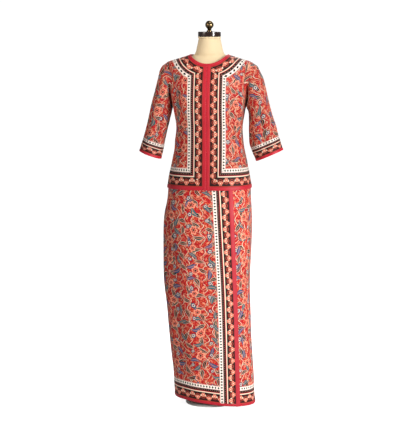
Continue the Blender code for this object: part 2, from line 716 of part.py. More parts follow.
def form_body(collection, name, material):
    """The form's torso and neck, one closed body through its rings."""
    levels = []
    for lower, upper in zip(FORM_RINGS, FORM_RINGS[1:]):
        steps = max(1, round((upper.z - lower.z) / FORM_STEP))
        levels += [lower.z + (upper.z - lower.z) * share for share in shares(steps)[:-1]]
    levels.append(FORM_RINGS[-1].z)
    turns = [math.tau * share for share in shares(FORM_COLUMNS)[:-1]]
    shape = bmesh.new()
    add_sheet(shape, [[tube_point(FORM_RINGS, (), turn, z) for turn in turns] for z in levels], True)
    bmesh.ops.holes_fill(shape, edges=[edge for edge in shape.edges if edge.is_boundary])
    return add_object(collection, name, finish_mesh(shape, name), material)


def turned(collection, name, profile, centre_y, material, steps=TURNED_STEPS):
    """A turned piece: its profile is radius and height, from its top to its bottom."""
    mesh = bpy.data.meshes.new(name)
    points = [(radius, 0, z) for radius, z in profile]
    mesh.from_pydata(points, [(i, i + 1) for i in range(len(points) - 1)], [])
    piece = add_object(collection, name, mesh, material)
    piece.location.y = centre_y
    turn = piece.modifiers.new("turn", "SCREW")
    turn.steps = steps
    turn.render_steps = steps
    turn.use_merge_vertices = True
    turn.merge_threshold = 0.00001
    turn.use_smooth_shade = True
    return piece


def form_pieces(collection, materials):
    form_body(collection, "form_body", materials["form_cover"])

    rim_foot = NECK_TOP_Z + SEAM_GAP
    rim = (
        (0, RIM_TOP_Z),
        (RIM_RADIUS - SOFT_EDGE, RIM_TOP_Z),
        (RIM_RADIUS, RIM_TOP_Z - SOFT_EDGE),
        (RIM_RADIUS, rim_foot + SOFT_EDGE),
        (RIM_RADIUS - SOFT_EDGE, rim_foot),
        (0, rim_foot),
    )
    turned(collection, "form_neck_rim", rim, NECK_CENTRE_Y, materials["form_cover"])

    cap = (
        (0, CAP_TOP_Z),
        (CAP_RADIUS - 2 * SOFT_EDGE, CAP_TOP_Z),
        (CAP_RADIUS, CAP_TOP_Z - 2 * SOFT_EDGE),
        (CAP_RADIUS, CAP_BOTTOM_Z),
        (0, CAP_BOTTOM_Z),
    )
    turned(collection, "form_cap", cap, NECK_CENTRE_Y, materials["cap_lacquer"])

    foot = CAP_TOP_Z + SEAM_GAP
    foot_top = foot + FINIAL_FOOT_HEIGHT
    ball_z = FINIAL_TOP_Z - FINIAL_BALL_RADIUS
    finial = [(0, FINIAL_TOP_Z)]
    for degrees in range(16, 150, 16):
        a = math.radians(degrees)
        finial.append((FINIAL_BALL_RADIUS * math.sin(a), ball_z + FINIAL_BALL_RADIUS * math.cos(a)))
    finial += [
        (FINIAL_NECK_RADIUS, foot_top + FINIAL_FOOT_HEIGHT),
        (FINIAL_FOOT_RADIUS, foot_top),
        (FINIAL_FOOT_RADIUS, foot),
        (0, foot),
    ]
    turned(
        collection, "form_finial", finial, NECK_CENTRE_Y, materials["finial_metal"], FINIAL_STEPS
    )

    hub_top = BASE_THICKNESS + BASE_HUB_HEIGHT
    pole_top = FORM_BOTTOM_Z - SEAM_GAP
    flange_low = pole_top - POLE_FLANGE_HEIGHT
    pole = (
        (0, pole_top),
        (POLE_FLANGE_RADIUS, pole_top),
        (POLE_FLANGE_RADIUS, flange_low),
        (POLE_RADIUS, flange_low - POLE_FLANGE_TAPER),
        (POLE_RADIUS, hub_top + SEAM_GAP),
        (0, hub_top + SEAM_GAP),
    )
    turned(collection, "form_pole", pole, 0, materials["pole_steel"])
    base = (
        (0, hub_top),
        (BASE_HUB_RADIUS - SOFT_EDGE, hub_top),
        (BASE_HUB_RADIUS, hub_top - SOFT_EDGE),
        (BASE_HUB_RADIUS + SOFT_EDGE, BASE_THICKNESS + SOFT_EDGE),
        (BASE_RADIUS - 4 * SOFT_EDGE, BASE_THICKNESS - 2 * SOFT_EDGE),
        (BASE_RADIUS, BASE_THICKNESS - 6 * SOFT_EDGE),
        (BASE_RADIUS, 0),
        (0, 0),
    )
    turned(collection, "form_base", base, 0, materials["base_paint"])


def build():
    clear_scene()
    collection = make_collection()
    materials = {name: make_material(name) for name in MATERIALS}
    cloth = materials["print_cloth"]
    trim = materials["crimson_band"]
    jacket_pieces(collection, cloth, trim)
    for name, side, table, folds in (
        ("left", 1, LEFT_SLEEVE, LEFT_SLEEVE_FOLDS),
        ("right", -1, RIGHT_SLEEVE, RIGHT_SLEEVE_FOLDS),
    ):
        sleeve(collection, f"sleeve_{name}", side, table, folds, cloth)
        cuff_band(collection, f"cuff_band_{name}", side, table, folds, trim)
    skirt_pieces(collection, cloth, trim)
    form_pieces(collection, materials)


build()
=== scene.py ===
import math

import bmesh
import bpy
import numpy as np
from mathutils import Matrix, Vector


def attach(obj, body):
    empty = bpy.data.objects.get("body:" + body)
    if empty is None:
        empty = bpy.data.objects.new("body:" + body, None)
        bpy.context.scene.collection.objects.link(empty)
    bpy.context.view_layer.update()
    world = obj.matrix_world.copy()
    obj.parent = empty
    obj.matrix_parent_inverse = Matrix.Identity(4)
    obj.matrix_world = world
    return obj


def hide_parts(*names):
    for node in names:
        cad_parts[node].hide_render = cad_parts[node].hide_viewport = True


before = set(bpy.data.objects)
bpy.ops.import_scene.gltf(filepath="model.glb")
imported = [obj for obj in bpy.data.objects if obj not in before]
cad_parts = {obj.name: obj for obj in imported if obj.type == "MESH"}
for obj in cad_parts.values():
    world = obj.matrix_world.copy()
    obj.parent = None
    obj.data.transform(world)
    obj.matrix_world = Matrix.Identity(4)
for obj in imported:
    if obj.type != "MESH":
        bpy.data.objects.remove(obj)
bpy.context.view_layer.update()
print("frame loaded")

tau = math.tau
gap = 0.0003  # between pieces that are sewn together


# tables and surfaces

def curveThrough(stations, values, at):  # smooth, and never past the table's values
    stations, values = np.asarray(stations, float), np.asarray(values, float)
    at = np.clip(at, stations[0], stations[-1])
    k = np.clip(np.searchsorted(stations, at, side="right") - 1, 0, len(stations) - 2)
    span = np.diff(stations)
    slope = np.diff(values) / span
    tangent = np.zeros(len(values))
    tangent[0], tangent[-1] = slope[0], slope[-1]
    for i in range(1, len(values) - 1):
        before, after = slope[i - 1], slope[i]
        tangent[i] = 2 * before * after / (before + after) if before * after > 0 else 0.0
    t = (at - stations[k]) / span[k]
    rise = t * t * (3 - 2 * t)
    return (values[k] * (1 - rise) + values[k + 1] * rise
            + span[k] * tangent[k] * t * (1 - t) ** 2
            - span[k] * tangent[k + 1] * t * t * (1 - t))


def readRow(table, at):
    columns = list(zip(*table))
    return [curveThrough(columns[0], column, at) for column in columns[1:]]


def foldRise(folds, degrees, place, radius):
    rise = np.zeros(np.broadcast(degrees, place, radius).shape)
    for top, topDegrees, bottom, bottomDegrees, width, height in folds:
        along = (place - top) / (bottom - top)
        middle = topDegrees + (bottomDegrees - topDegrees) * along
        off = (degrees - middle + 180) % 360 - 180
        across = np.radians(off) * radius / width
        bell = np.sin(math.pi * np.clip(along, 0, 1)) * np.exp(-across * across)
        rise = rise + height * np.where((along > 0) & (along < 1), bell, 0)
    return rise


def ringPoint(garment, turn, z):  # turn 0 is the front (-Y) and runs towards +X
    turn, z = np.broadcast_arrays(np.asarray(turn, float), np.asarray(z, float))
    halfWidth, front, back, square, shift = readRow(garment["rings"], z)
    side, ahead = np.sin(turn), np.cos(turn)
    depth = np.where(ahead > 0, front, back)
    reach = (np.abs(side / halfWidth) ** square + np.abs(ahead / depth) ** square) ** (-1 / square)
    rise = foldRise(garment["folds"], np.degrees(turn), z, reach)
    rise = rise + foldRise(garment["creases"], np.degrees(turn), z, reach)
    waver = np.sin(turn * 7 + z * 23) * np.sin(z * 31 + turn * 3) + np.sin(turn * 15 - z * 47) * 0.6
    reach = reach + rise + garment["waver"] * waver
    return np.stack((shift + reach * side, -reach * ahead, z), axis=-1)


def liftedPoint(garment, turn, z, lift):  # moved out along the cloth's own normal
    step = 2e-4
    across = ringPoint(garment, turn + step, z) - ringPoint(garment, turn - step, z)
    along = ringPoint(garment, turn, z + step) - ringPoint(garment, turn, z - step)
    normal = np.cross(across, along)
    normal /= np.linalg.norm(normal, axis=-1, keepdims=True)
    return ringPoint(garment, turn, z) + normal * np.asarray(lift)[..., None]


def turnAtX(rings, x, z, behind=False):
    halfWidth, front, back, square, shift = readRow(rings, z)
    depth = back if behind else front
    share = np.minimum(np.abs((x - shift) / halfWidth), 1.0)
    y = depth * (1 - share ** square) ** (1 / square)
    return np.arctan2(x - shift, -y if behind else y)


# meshes

def putIn(name, data):
    thing = bpy.data.objects.new(name, data)
    bpy.context.scene.collection.objects.link(thing)
    return thing


def gridObject(name, outer, inner, uv=None, marks=None, around=False):
    # outer and inner are rows x columns of points; columns run towards greater turns, rows upwards
    rows, columns = outer.shape[:2]
    count = rows * columns
    points = np.concatenate((outer.reshape(-1, 3), inner.reshape(-1, 3)))
    r, c = np.meshgrid(np.arange(rows - 1), np.arange(columns if around else columns - 1), indexing="ij")
    r, c = r.ravel(), c.ravel()
    corners = ((r, c), (r, c + 1), (r + 1, c + 1), (r + 1, c))
    front = np.stack([a * columns + b % columns for a, b in corners], axis=1)
    faces = [front, front[:, ::-1] + count]
    places = [[(a, b) for a, b in corners], [(a, b) for a, b in corners[::-1]]]
    uvIndex = [np.stack([np.stack((a, b), axis=-1) for a, b in side], axis=1) for side in places]

    def rim(first, second):  # each pair of outer vertices, in the outer face's own order
        a, b = (ends[:, 0] * columns + ends[:, 1] % columns for ends in (first, second))
        faces.append(np.stack((b, a, a + count, b + count), axis=1))
        uvIndex.append(np.stack((second, first, first, second), axis=1))

    span = np.arange(columns if around else columns - 1)
    low, high = np.zeros_like(span), np.full_like(span, rows - 1)
    rim(np.stack((low, span), 1), np.stack((low, span + 1), 1))
    rim(np.stack((high, span + 1), 1), np.stack((high, span), 1))
    if not around:
        up = np.arange(rows - 1)
        left, right = np.zeros_like(up), np.full_like(up, columns - 1)
        rim(np.stack((up + 1, left), 1), np.stack((up, left), 1))
        rim(np.stack((up, right), 1), np.stack((up + 1, right), 1))

    faces, uvIndex = np.concatenate(faces), np.concatenate(uvIndex)
    mesh = bpy.data.meshes.new(name)
    mesh.from_pydata(points.tolist(), [], faces.tolist())
    if uv is not None:
        layer = mesh.uv_layers.new(name="cloth")
        flat = uvIndex.reshape(-1, 2)
        layer.data.foreach_set("uv", uv[flat[:, 0], flat[:, 1]].astype(np.float32).ravel())
    for mark, values in (marks or {}).items():
        held = mesh.attributes.new(mark, "FLOAT", "POINT")
        both = np.concatenate((values.ravel(), values.ravel())).astype(np.float32)
        held.data.foreach_set("value", both)
    mesh.shade_smooth()
    mesh.set_sharp_from_angle(angle=math.radians(60))
    return putIn(name, mesh)


def outerArea(points):
    a, b = points[1:, :-1] - points[:-1, :-1], points[:-1, 1:] - points[:-1, :-1]
    c, d = points[:-1, 1:] - points[1:, 1:], points[1:, :-1] - points[1:, 1:]
    twice = np.linalg.norm(np.cross(a, b), axis=-1) + np.linalg.norm(np.cross(c, d), axis=-1)
    return float(twice.sum() / 2)


def runs(points, axis):  # distance travelled along the rows or the columns of a grid
    steps = np.linalg.norm(np.diff(points, axis=axis), axis=-1)
    first = np.zeros_like(np.take(steps, [0], axis=axis))
    return np.concatenate((first, np.cumsum(steps, axis=axis)), axis=axis)


def cutOf(points, around=False):  # a sheet's width, length and area before it was sewn
    if around:
        points = np.concatenate((points, points[:, :1]), axis=1)
    width, length = runs(points, 1)[:, -1].max(), runs(points, 0)[-1].max()
    return round(float(width), 3), round(float(length), 3), outerArea(points)


def alongLine(line, points):  # distance to a line of points, and how far along it that place is
    shape = points.shape[:-1]
    flat = points.reshape(-1, 3)
    best, run = np.full(len(flat), 9.0), np.zeros(len(flat))
    travelled = 0.0
    for a, b in zip(line[:-1], line[1:]):
        edge = b - a
        length = np.linalg.norm(edge)
        if length < 1e-7:
            continue
        share = np.clip((flat - a) @ edge / length ** 2, 0, 1)
        distance = np.linalg.norm(flat - a - share[:, None] * edge, axis=1)
        closer = distance < best
        best = np.where(closer, distance, best)
        run = np.where(closer, travelled + share * length, run)
        travelled += length
    return best.reshape(shape), run.reshape(shape)


def place(piece, slotName, material, *nodes):
    piece.data.materials.clear()
    piece.data.materials.append(material)
    if nodes:
        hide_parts(*nodes)
    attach(piece, "root")
    return piece


# shader sketching

class Sketch:  # adds nodes to one tree, with numbers or sockets as inputs
    def __init__(self, tree):
        self.tree, self.count = tree, 0

    def node(self, kind, **settings):
        made = self.tree.nodes.new(kind)
        made.location = (160 * (self.count % 12), -180 * (self.count // 12))
        self.count += 1
        for key, value in settings.items():
            setattr(made, key, value)
        return made

    def feed(self, socket, value):
        if value is None:
            return
        if isinstance(value, bpy.types.NodeSocket):
            self.tree.links.new(value, socket)
        else:
            socket.default_value = value

    def math(self, operation, a, b=None, c=None):
        made = self.node("ShaderNodeMath", operation=operation)
        for socket, value in zip(made.inputs, (a, b, c)):
            self.feed(socket, value)
        return made.outputs[0]

    def plus(self, a, b):
        return self.math("ADD", a, b)

    def minus(self, a, b):
        return self.math("SUBTRACT", a, b)

    def times(self, a, b):
        return self.math("MULTIPLY", a, b)

    def over(self, a, b):
        return self.math("DIVIDE", a, b)

    def abs(self, a):
        return self.math("ABSOLUTE", a)

    def radius(self, x, y):
        return self.math("SQRT", self.plus(self.times(x, x), self.times(y, y)))

    def blend(self, share, a, b):  # a number between a and b
        return self.plus(a, self.times(share, self.minus(b, a)))

    def noise(self, dimensions, vector, scale, detail):
        made = self.node("ShaderNodeTexNoise", noise_dimensions=dimensions)
        for key, value in (("Vector", vector), ("Scale", scale), ("Detail", detail)):
            self.feed(made.inputs[key], value)
        return made.outputs

    def vector(self, operation, a, b=None, scale=None):
        made = self.node("ShaderNodeVectorMath", operation=operation)
        self.feed(made.inputs[0], a)
        self.feed(made.inputs[1], b)
        self.feed(made.inputs[3], scale)
        return made.outputs[0]

    def join(self, x, y, z=0.0):
        made = self.node("ShaderNodeCombineXYZ")
        for socket, value in zip(made.inputs, (x, y, z)):
            self.feed(socket, value)
        return made.outputs[0]

    def split(self, vector):
        made = self.node("ShaderNodeSeparateXYZ")
        self.feed(made.inputs[0], vector)
        return made.outputs

    def mix(self, factor, a, b):
        made = self.node("ShaderNodeMix", data_type="RGBA")
        self.feed(made.inputs[0], factor)
        self.feed(made.inputs[6], a)
        self.feed(made.inputs[7], b)
        return made.outputs[2]

    def below(self, value, limit, soft=0.0004):  # 1 where value is under limit, with a soft edge
        made = self.node("ShaderNodeMapRange", interpolation_type="SMOOTHSTEP")
        self.feed(made.inputs["Value"], self.minus(limit, value))
        self.feed(made.inputs["From Min"], -soft)
        self.feed(made.inputs["From Max"], soft)
        return made.outputs[0]

    def between(self, value, low, high, soft=0.0004):
        return self.times(self.below(low, value, soft), self.below(value, high, soft))

    def group(self, tree, **values):
        made = self.node("ShaderNodeGroup", node_tree=tree)
        for key, value in values.items():
            self.feed(made.inputs[key], value)
        return made.outputs


def newGroup(name, inputs, outputs):
    tree = bpy.data.node_groups.new(name, "ShaderNodeTree")
    kinds = {"f": "NodeSocketFloat", "v": "NodeSocketVector", "c": "NodeSocketColor"}
    for key, kind, value in inputs:
        socket = tree.interface.new_socket(key, in_out="INPUT", socket_type=kinds[kind])
        if value is not None:
            socket.default_value = value
    for key, kind in outputs:
        tree.interface.new_socket(key, in_out="OUTPUT", socket_type=kinds[kind])
    sketch = Sketch(tree)
    start, end = sketch.node("NodeGroupInput"), sketch.node("NodeGroupOutput")
    return tree, sketch, start.outputs, end.inputs


def paint(red, green, blue):  # a colour as a screen shows it, 0 to 255
    def linear(c):
        c /= 255
        return c / 12.92 if c <= 0.04045 else ((c + 0.055) / 1.055) ** 2.4
    return (linear(red), linear(green), linear(blue), 1.0)


dyes = {
    "red": paint(206, 30, 36), "deepRed": paint(170, 14, 24), "crimson": paint(190, 13, 40),
    "salmon": paint(238, 142, 116), "peach": paint(246, 174, 134), "orange": paint(238, 158, 84),
    "cream": paint(250, 232, 206), "ivory": paint(253, 243, 232), "brick": paint(190, 62, 48),
    "brown": paint(44, 12, 9), "black": paint(22, 17, 13), "leaf": paint(38, 54, 48),
    "blue": paint(58, 86, 124), "teal": paint(46, 108, 116), "plum": paint(92, 58, 96),
}

border = {  # from the cloth's edge inwards, in metres
    "binding": 0.0125, "firstLine": 0.0145, "vine": 0.0440, "creamLine": 0.0472, "redLine": 0.0496,
    "stripe": 0.0585, "chain": 0.0730, "vinePitch": 0.0440, "vineSwing": 0.0072, "stem": 0.0009,
    "leafLength": 0.0112, "leafWidth": 0.0036, "blossom": 0.0082, "blossomShift": 0.0052,
    "beadPitch": 0.0074, "bead": 0.0009, "chainPitch": 0.0112, "diamondHeight": 0.0044,
    "diamondShare": 0.36, "lineNear": 0.0007, "lineFar": 0.0016,
    # shares of a blossom's radius
    "petalLeast": 0.70, "petalSpread": 0.30, "ringInner": 0.36, "ringOuter": 0.50, "heart": 0.22,
}

field = {  # cell width, cell height, radius or length, petals or half width
    "bloom": (0.104, 0.082, 0.0165, 6.0), "star": (0.070, 0.058, 0.0098, 5.0),
    "bud": (0.034, 0.030, 0.0048, 4.0), "darkLeaf": (0.056, 0.044, 0.0190, 0.0058),
    "blueLeaf": (0.066, 0.050, 0.0205, 0.0058), "paleLeaf": (0.024, 0.020, 0.0095, 0.0026),
    "stemPitch": 0.0155, "stemWidth": 0.0010, "stemWave": 0.0075, "stemTurns": 132.0,
    "seedPitch": 0.0064, "seedRadius": 0.0012, "swayScale": 16.0, "sway": 0.016,
    "seedJitter": 0.5, "brownSeeds": 0.4, "flowerJitter": 0.22, "leafCurl": 9.0,
    "darkFrom": 2.0, "darkTo": 2.8,  # the dark line beside a stem, in stem widths
}

petal = {  # shares of a flower's radius, and its rim in metres
    "least": 0.80, "spread": 0.25, "notch": 0.52, "roundness": 0.6, "rim": 0.0012,
    "ringOuter": 0.62, "ringInner": 0.34, "heart": 0.24,
}

blade = {  # shares of a leaf, and its lines in metres
    "jitter": 0.35, "lean": 0.45, "veinReach": 0.86, "vein": 0.0006, "rimIn": 0.0004, "rimOut": 0.0009,
}


def makeCellGroup():  # half-drop cells: place within the cell and chance values for it
    tree, s, given, out = newGroup(
        "cell", [("Vector", "v", None), ("Width", "f", 0.1), ("Height", "f", 0.1), ("Jitter", "f", 0.2),
                 ("Seed", "f", 0.0)],
        [("X", "f"), ("Y", "f"), ("Chance", "f"), ("Chance 2", "f")])
    x, y, _ = s.split(given["Vector"])
    column = s.over(x, given["Width"])
    whole = s.math("FLOOR", column)
    drop = s.times(s.math("PINGPONG", whole, 1.0), 0.5)
    row = s.plus(s.over(y, given["Height"]), drop)
    wholeRow = s.math("FLOOR", row)
    noise = s.node("ShaderNodeTexWhiteNoise", noise_dimensions="3D")
    s.feed(noise.inputs["Vector"], s.join(whole, wholeRow, given["Seed"]))
    one, two, three = s.split(noise.outputs["Color"])

    def local(value, floor, chance, size):
        off = s.times(s.minus(chance, 0.5), given["Jitter"])
        centred = s.minus(s.minus(value, floor), 0.5)
        return s.times(s.minus(centred, off), size)

    s.feed(out["X"], local(column, whole, one, given["Width"]))
    s.feed(out["Y"], local(row, wholeRow, two, given["Height"]))
    s.feed(out["Chance"], three)
    s.feed(out["Chance 2"], noise.outputs["Value"])
    return tree


def makeFlowerGroup(cellTree):
    tree, s, given, out = newGroup(
        "flower", [("Vector", "v", None), ("Width", "f", 0.1), ("Height", "f", 0.1), ("Radius", "f", 0.02),
                   ("Petals", "f", 5.0), ("Jitter", "f", 0.2), ("Seed", "f", 0.0)],
        [("Petal", "f"), ("Rim", "f"), ("Ring", "f"), ("Heart", "f")])
    cell = s.group(cellTree, **{key: given[key] for key in ("Vector", "Width", "Height", "Jitter", "Seed")})
    x, y = cell["X"], cell["Y"]
    r = s.radius(x, y)
    angle = s.plus(s.math("ARCTAN2", y, x), s.times(cell["Chance"], tau))
    lobe = s.abs(s.math("COSINE", s.times(angle, s.times(given["Petals"], 0.5))))
    size = s.times(given["Radius"], s.plus(petal["least"], s.times(cell["Chance 2"], petal["spread"])))
    swell = s.times(s.math("POWER", lobe, petal["roundness"]), 1 - petal["notch"])
    reach = s.times(size, s.plus(petal["notch"], swell))
    s.feed(out["Petal"], s.below(r, reach))
    s.feed(out["Rim"], s.between(r, s.minus(reach, petal["rim"]), reach))
    s.feed(out["Ring"], s.between(r, s.times(size, petal["ringInner"]), s.times(reach, petal["ringOuter"])))
    s.feed(out["Heart"], s.below(r, s.times(size, petal["heart"])))
    return tree


def makeLeafGroup(cellTree):
    tree, s, given, out = newGroup(
        "leaf", [("Vector", "v", None), ("Width", "f", 0.1), ("Height", "f", 0.1), ("Length", "f", 0.02),
                 ("Half Width", "f", 0.005), ("Curl", "f", 14.0), ("Seed", "f", 0.0)],
        [("Blade", "f"), ("Rim", "f"), ("Vein", "f"), ("Chance", "f")])
    cell = s.group(cellTree, Jitter=blade["jitter"],
                   **{key: given[key] for key in ("Vector", "Width", "Height", "Seed")})
    angle = s.times(cell["Chance"], tau)
    c, n = s.math("COSINE", angle), s.math("SINE", angle)
    x = s.plus(s.times(cell["X"], c), s.times(cell["Y"], n))
    y = s.minus(s.times(cell["Y"], c), s.times(cell["X"], n))
    off = s.abs(s.minus(y, s.times(s.times(x, x), given["Curl"])))
    share = s.over(x, given["Length"])
    taper = s.minus(1.0, s.times(share, share))
    half = s.times(s.times(given["Half Width"], taper), s.plus(1.0, s.times(share, blade["lean"])))
    s.feed(out["Blade"], s.below(off, half))
    s.feed(out["Rim"], s.between(off, s.minus(half, blade["rimIn"]), s.plus(half, blade["rimOut"])))
    within = s.below(s.abs(x), s.times(given["Length"], blade["veinReach"]))
    s.feed(out["Vein"], s.times(s.below(off, blade["vein"]), within))
    s.feed(out["Chance"], cell["Chance 2"])
    return tree


def makeFieldGroup(cellTree, flowerTree, leafTree):
    tree, s, given, out = newGroup("fieldPrint", [("Vector", "v", None)], [("Color", "c")])
    cloth = given["Vector"]
    drift = s.noise("2D", cloth, field["swayScale"], 1.0)
    sway = s.vector("SCALE", s.vector("SUBTRACT", drift["Color"], (0.5, 0.5, 0.5)), scale=field["sway"])
    bent = s.vector("ADD", cloth, sway)

    colour = s.mix(drift["Fac"], dyes["red"], dyes["deepRed"])
    seeds = s.group(cellTree, Vector=cloth, Width=field["seedPitch"], Height=field["seedPitch"],
                    Jitter=field["seedJitter"], Seed=9.0)
    seedInk = s.mix(s.below(seeds["Chance"], field["brownSeeds"], 0.01), dyes["orange"], dyes["brown"])
    colour = s.mix(s.below(s.radius(seeds["X"], seeds["Y"]), field["seedRadius"]), colour, seedInk)

    x, y, _ = s.split(bent)  # two families of waving stems, each with a dark line beside it
    width = field["stemWidth"]
    for across, along, shift, ink in ((x, y, 0.0, "cream"), (y, x, 0.4, "salmon")):
        wave = s.times(s.math("SINE", s.times(along, field["stemTurns"])), field["stemWave"])
        line = s.math("PINGPONG", s.plus(s.plus(across, wave), shift), field["stemPitch"])
        colour = s.mix(s.below(line, width), colour, dyes[ink])
        dark = s.between(line, width * field["darkFrom"], width * field["darkTo"])
        colour = s.mix(dark, colour, dyes["brown"])

    for key, seed, inks, rim, vein in (
            ("paleLeaf", 3.0, ("salmon", "peach"), "deepRed", "deepRed"),
            ("darkLeaf", 5.0, ("leaf", "black"), "cream", "salmon"),
            ("blueLeaf", 7.0, ("blue", "teal"), "brown", "salmon")):
        width, height, length, half = field[key]
        leaf = s.group(leafTree, Vector=bent, Width=width, Height=height, Length=length,
                       **{"Half Width": half}, Curl=field["leafCurl"] + seed, Seed=seed)
        ink = s.mix(s.below(leaf["Chance"], 0.5, 0.01), dyes[inks[1]], dyes[inks[0]])
        for part, dye in (("Rim", dyes[rim]), ("Blade", ink), ("Vein", dyes[vein])):
            colour = s.mix(leaf[part], colour, dye)

    for key, seed, inks in (  # petal, ring, rim and heart
            ("bud", 21.0, ("cream", "orange", "brown", "deepRed")),
            ("star", 13.0, ("blue", "cream", "brown", "plum")),
            ("bloom", 17.0, ("salmon", "deepRed", "peach", "brown"))):
        width, height, radius, petals = field[key]
        flower = s.group(flowerTree, Vector=bent, Width=width, Height=height, Radius=radius, Petals=petals,
                         Jitter=field["flowerJitter"], Seed=seed)
        for part, ink in zip(("Petal", "Ring", "Rim", "Heart"), inks):
            colour = s.mix(flower[part], colour, dyes[ink])
    s.feed(out["Color"], colour)
    return tree


def makeBorderGroup():
    tree, s, given, out = newGroup(
        "borderPrint", [("Distance", "f", 1.0), ("Run", "f", 0.0)], [("Color", "c"), ("Mask", "f")])
    d, run = given["Distance"], given["Run"]
    pitch, swing, blossom = border["vinePitch"], border["vineSwing"], border["blossom"]

    def inCell(pitch, shift=0.0):  # -0.5 to 0.5 over each cell, and the cell's number
        share = s.plus(s.over(run, pitch), shift)
        return s.minus(s.math("FRACT", share), 0.5), s.math("FLOOR", share)

    def inBend(shift):  # distance along from a bend's middle, and 1 or -1 for the side it swings to
        cell, number = inCell(pitch / 2, shift)
        side = s.minus(1.0, s.times(s.math("PINGPONG", number, 1.0), 2.0))
        return s.times(cell, pitch / 2), side

    # dark band with a running vine: a waving stem, a blossom in each bend, a leaf pair at each crossing
    y = s.minus(d, (border["firstLine"] + border["vine"]) / 2)
    phase = s.times(run, tau / pitch)
    slope = s.times(s.math("COSINE", phase), swing * tau / pitch)
    off = s.minus(y, s.times(s.math("SINE", phase), swing))
    off = s.over(s.abs(off), s.math("SQRT", s.plus(1.0, s.times(slope, slope))))
    colour = s.mix(s.below(off, border["stem"]), dyes["brown"], dyes["brick"])

    x, side = inBend(0.5)
    lean = s.times(x, side)
    diagonal = 0.70
    share = s.over(s.times(s.minus(y, lean), diagonal), border["leafLength"])
    half = s.times(s.minus(1.0, s.abs(s.minus(s.times(s.abs(share), 2.0), 1.0))), border["leafWidth"])
    leaf = s.below(s.abs(s.times(s.plus(y, lean), diagonal)), half, 0.0005)
    colour = s.mix(leaf, colour, s.mix(s.below(y, 0.0), dyes["cream"], dyes["salmon"]))

    x, side = inBend(0.0)
    away = s.plus(y, s.times(side, border["blossomShift"]))
    r = s.radius(x, away)
    lobe = s.abs(s.math("COSINE", s.times(s.math("ARCTAN2", away, x), 3.0)))
    size = s.plus(border["petalLeast"], s.times(lobe, border["petalSpread"]))
    colour = s.mix(s.below(r, s.times(size, blossom)), colour, dyes["salmon"])
    ring = s.between(r, blossom * border["ringInner"], blossom * border["ringOuter"])
    colour = s.mix(ring, colour, dyes["deepRed"])
    colour = s.mix(s.below(r, blossom * border["heart"]), colour, dyes["cream"])

    # fine lines, black stripe with beads
    colour = s.mix(s.below(d, border["firstLine"]), colour, dyes["brick"])
    for start, ink in (("vine", "cream"), ("creamLine", "crimson"), ("redLine", "black")):
        colour = s.mix(s.below(border[start], d), colour, dyes[ink])
    cell, _ = inCell(border["beadPitch"])
    middle = (border["redLine"] + border["stripe"]) / 2
    bead = s.radius(s.times(cell, border["beadPitch"]), s.minus(d, middle))
    colour = s.mix(s.below(bead, border["bead"]), colour, dyes["salmon"])

    # pale band with a chain of diamonds between two fine lines
    reach = (border["chain"] - border["stripe"]) / 2
    away = s.abs(s.minus(d, (border["stripe"] + border["chain"]) / 2))
    cell, _ = inCell(border["chainPitch"])
    spread = s.plus(s.over(s.abs(cell), border["diamondShare"]), s.over(away, border["diamondHeight"]))
    chain = s.mix(s.below(spread, 1.0, 0.06), dyes["ivory"], dyes["black"])
    line = s.between(away, reach - border["lineFar"], reach - border["lineNear"])
    chain = s.mix(line, chain, dyes["crimson"])
    colour = s.mix(s.below(border["stripe"], d), colour, chain)
    colour = s.mix(s.below(d, border["binding"]), colour, dyes["crimson"])
    s.feed(out["Color"], colour)
    s.feed(out["Mask"], s.below(d, border["chain"]))
    return tree


def makeEdgeGroup():  # which of three edges a place's border follows
    tree, s, given, out = newGroup(
        "nearestEdge", [("Edge 1", "f", 1.0), ("Run 1", "f", 0.0), ("Edge 2", "f", 1.0), ("Run 2", "f", 0.0),
                        ("Edge 3", "f", 1.0), ("Run 3", "f", 0.0), ("First Wins", "f", 0.0)],
        [("Distance", "f"), ("Run", "f")])
    low = s.math("MINIMUM", given["Edge 2"], given["Edge 3"])
    third = s.math("LESS_THAN", given["Edge 3"], given["Edge 2"])
    run = s.blend(third, given["Run 2"], given["Run 3"])
    inside = s.times(s.math("LESS_THAN", given["Edge 1"], border["chain"]), given["First Wins"])
    pick = s.math("MAXIMUM", s.math("LESS_THAN", given["Edge 1"], low), inside)
    s.feed(out["Distance"], s.blend(pick, low, given["Edge 1"]))
    s.feed(out["Run"], s.blend(pick, run, given["Run 1"]))
    return tree


def makeWeaveGroup():
    tree, s, given, out = newGroup(
        "weave", [("Vector", "v", None), ("Thread", "f", 0.0008), ("Unevenness", "f", 0.3)],
        [("Height", "f"), ("Shade", "f")])
    x, y, _ = s.split(given["Vector"])
    threads = [s.math("SINE", s.times(s.over(way, given["Thread"]), math.pi)) for way in (x, y)]
    slub = s.times(s.minus(s.noise("3D", given["Vector"], 140.0, 3.0)["Fac"], 0.5), given["Unevenness"])
    s.feed(out["Height"], s.plus(s.times(s.times(*threads), 0.5), slub))
    s.feed(out["Shade"], s.plus(1.0, slub))
    return tree


def makeDriftGroup():  # slow change of tone over a surface, with a little dust
    tree, s, given, out = newGroup(
        "toneDrift", [("Color", "c", (0.5, 0.5, 0.5, 1)), ("Vector", "v", None), ("Scale", "f", 6.0),
                      ("Amount", "f", 0.2), ("Roughness", "f", 0.5)],
        [("Color", "c"), ("Roughness", "f")])
    cloud = s.noise("3D", given["Vector"], given["Scale"], 4.0)["Fac"]
    off = s.times(s.minus(cloud, 0.5), given["Amount"])
    s.feed(out["Color"], s.vector("SCALE", given["Color"], scale=s.plus(1.0, off)))
    s.feed(out["Roughness"], s.plus(given["Roughness"], s.times(off, 0.5)))
    return tree


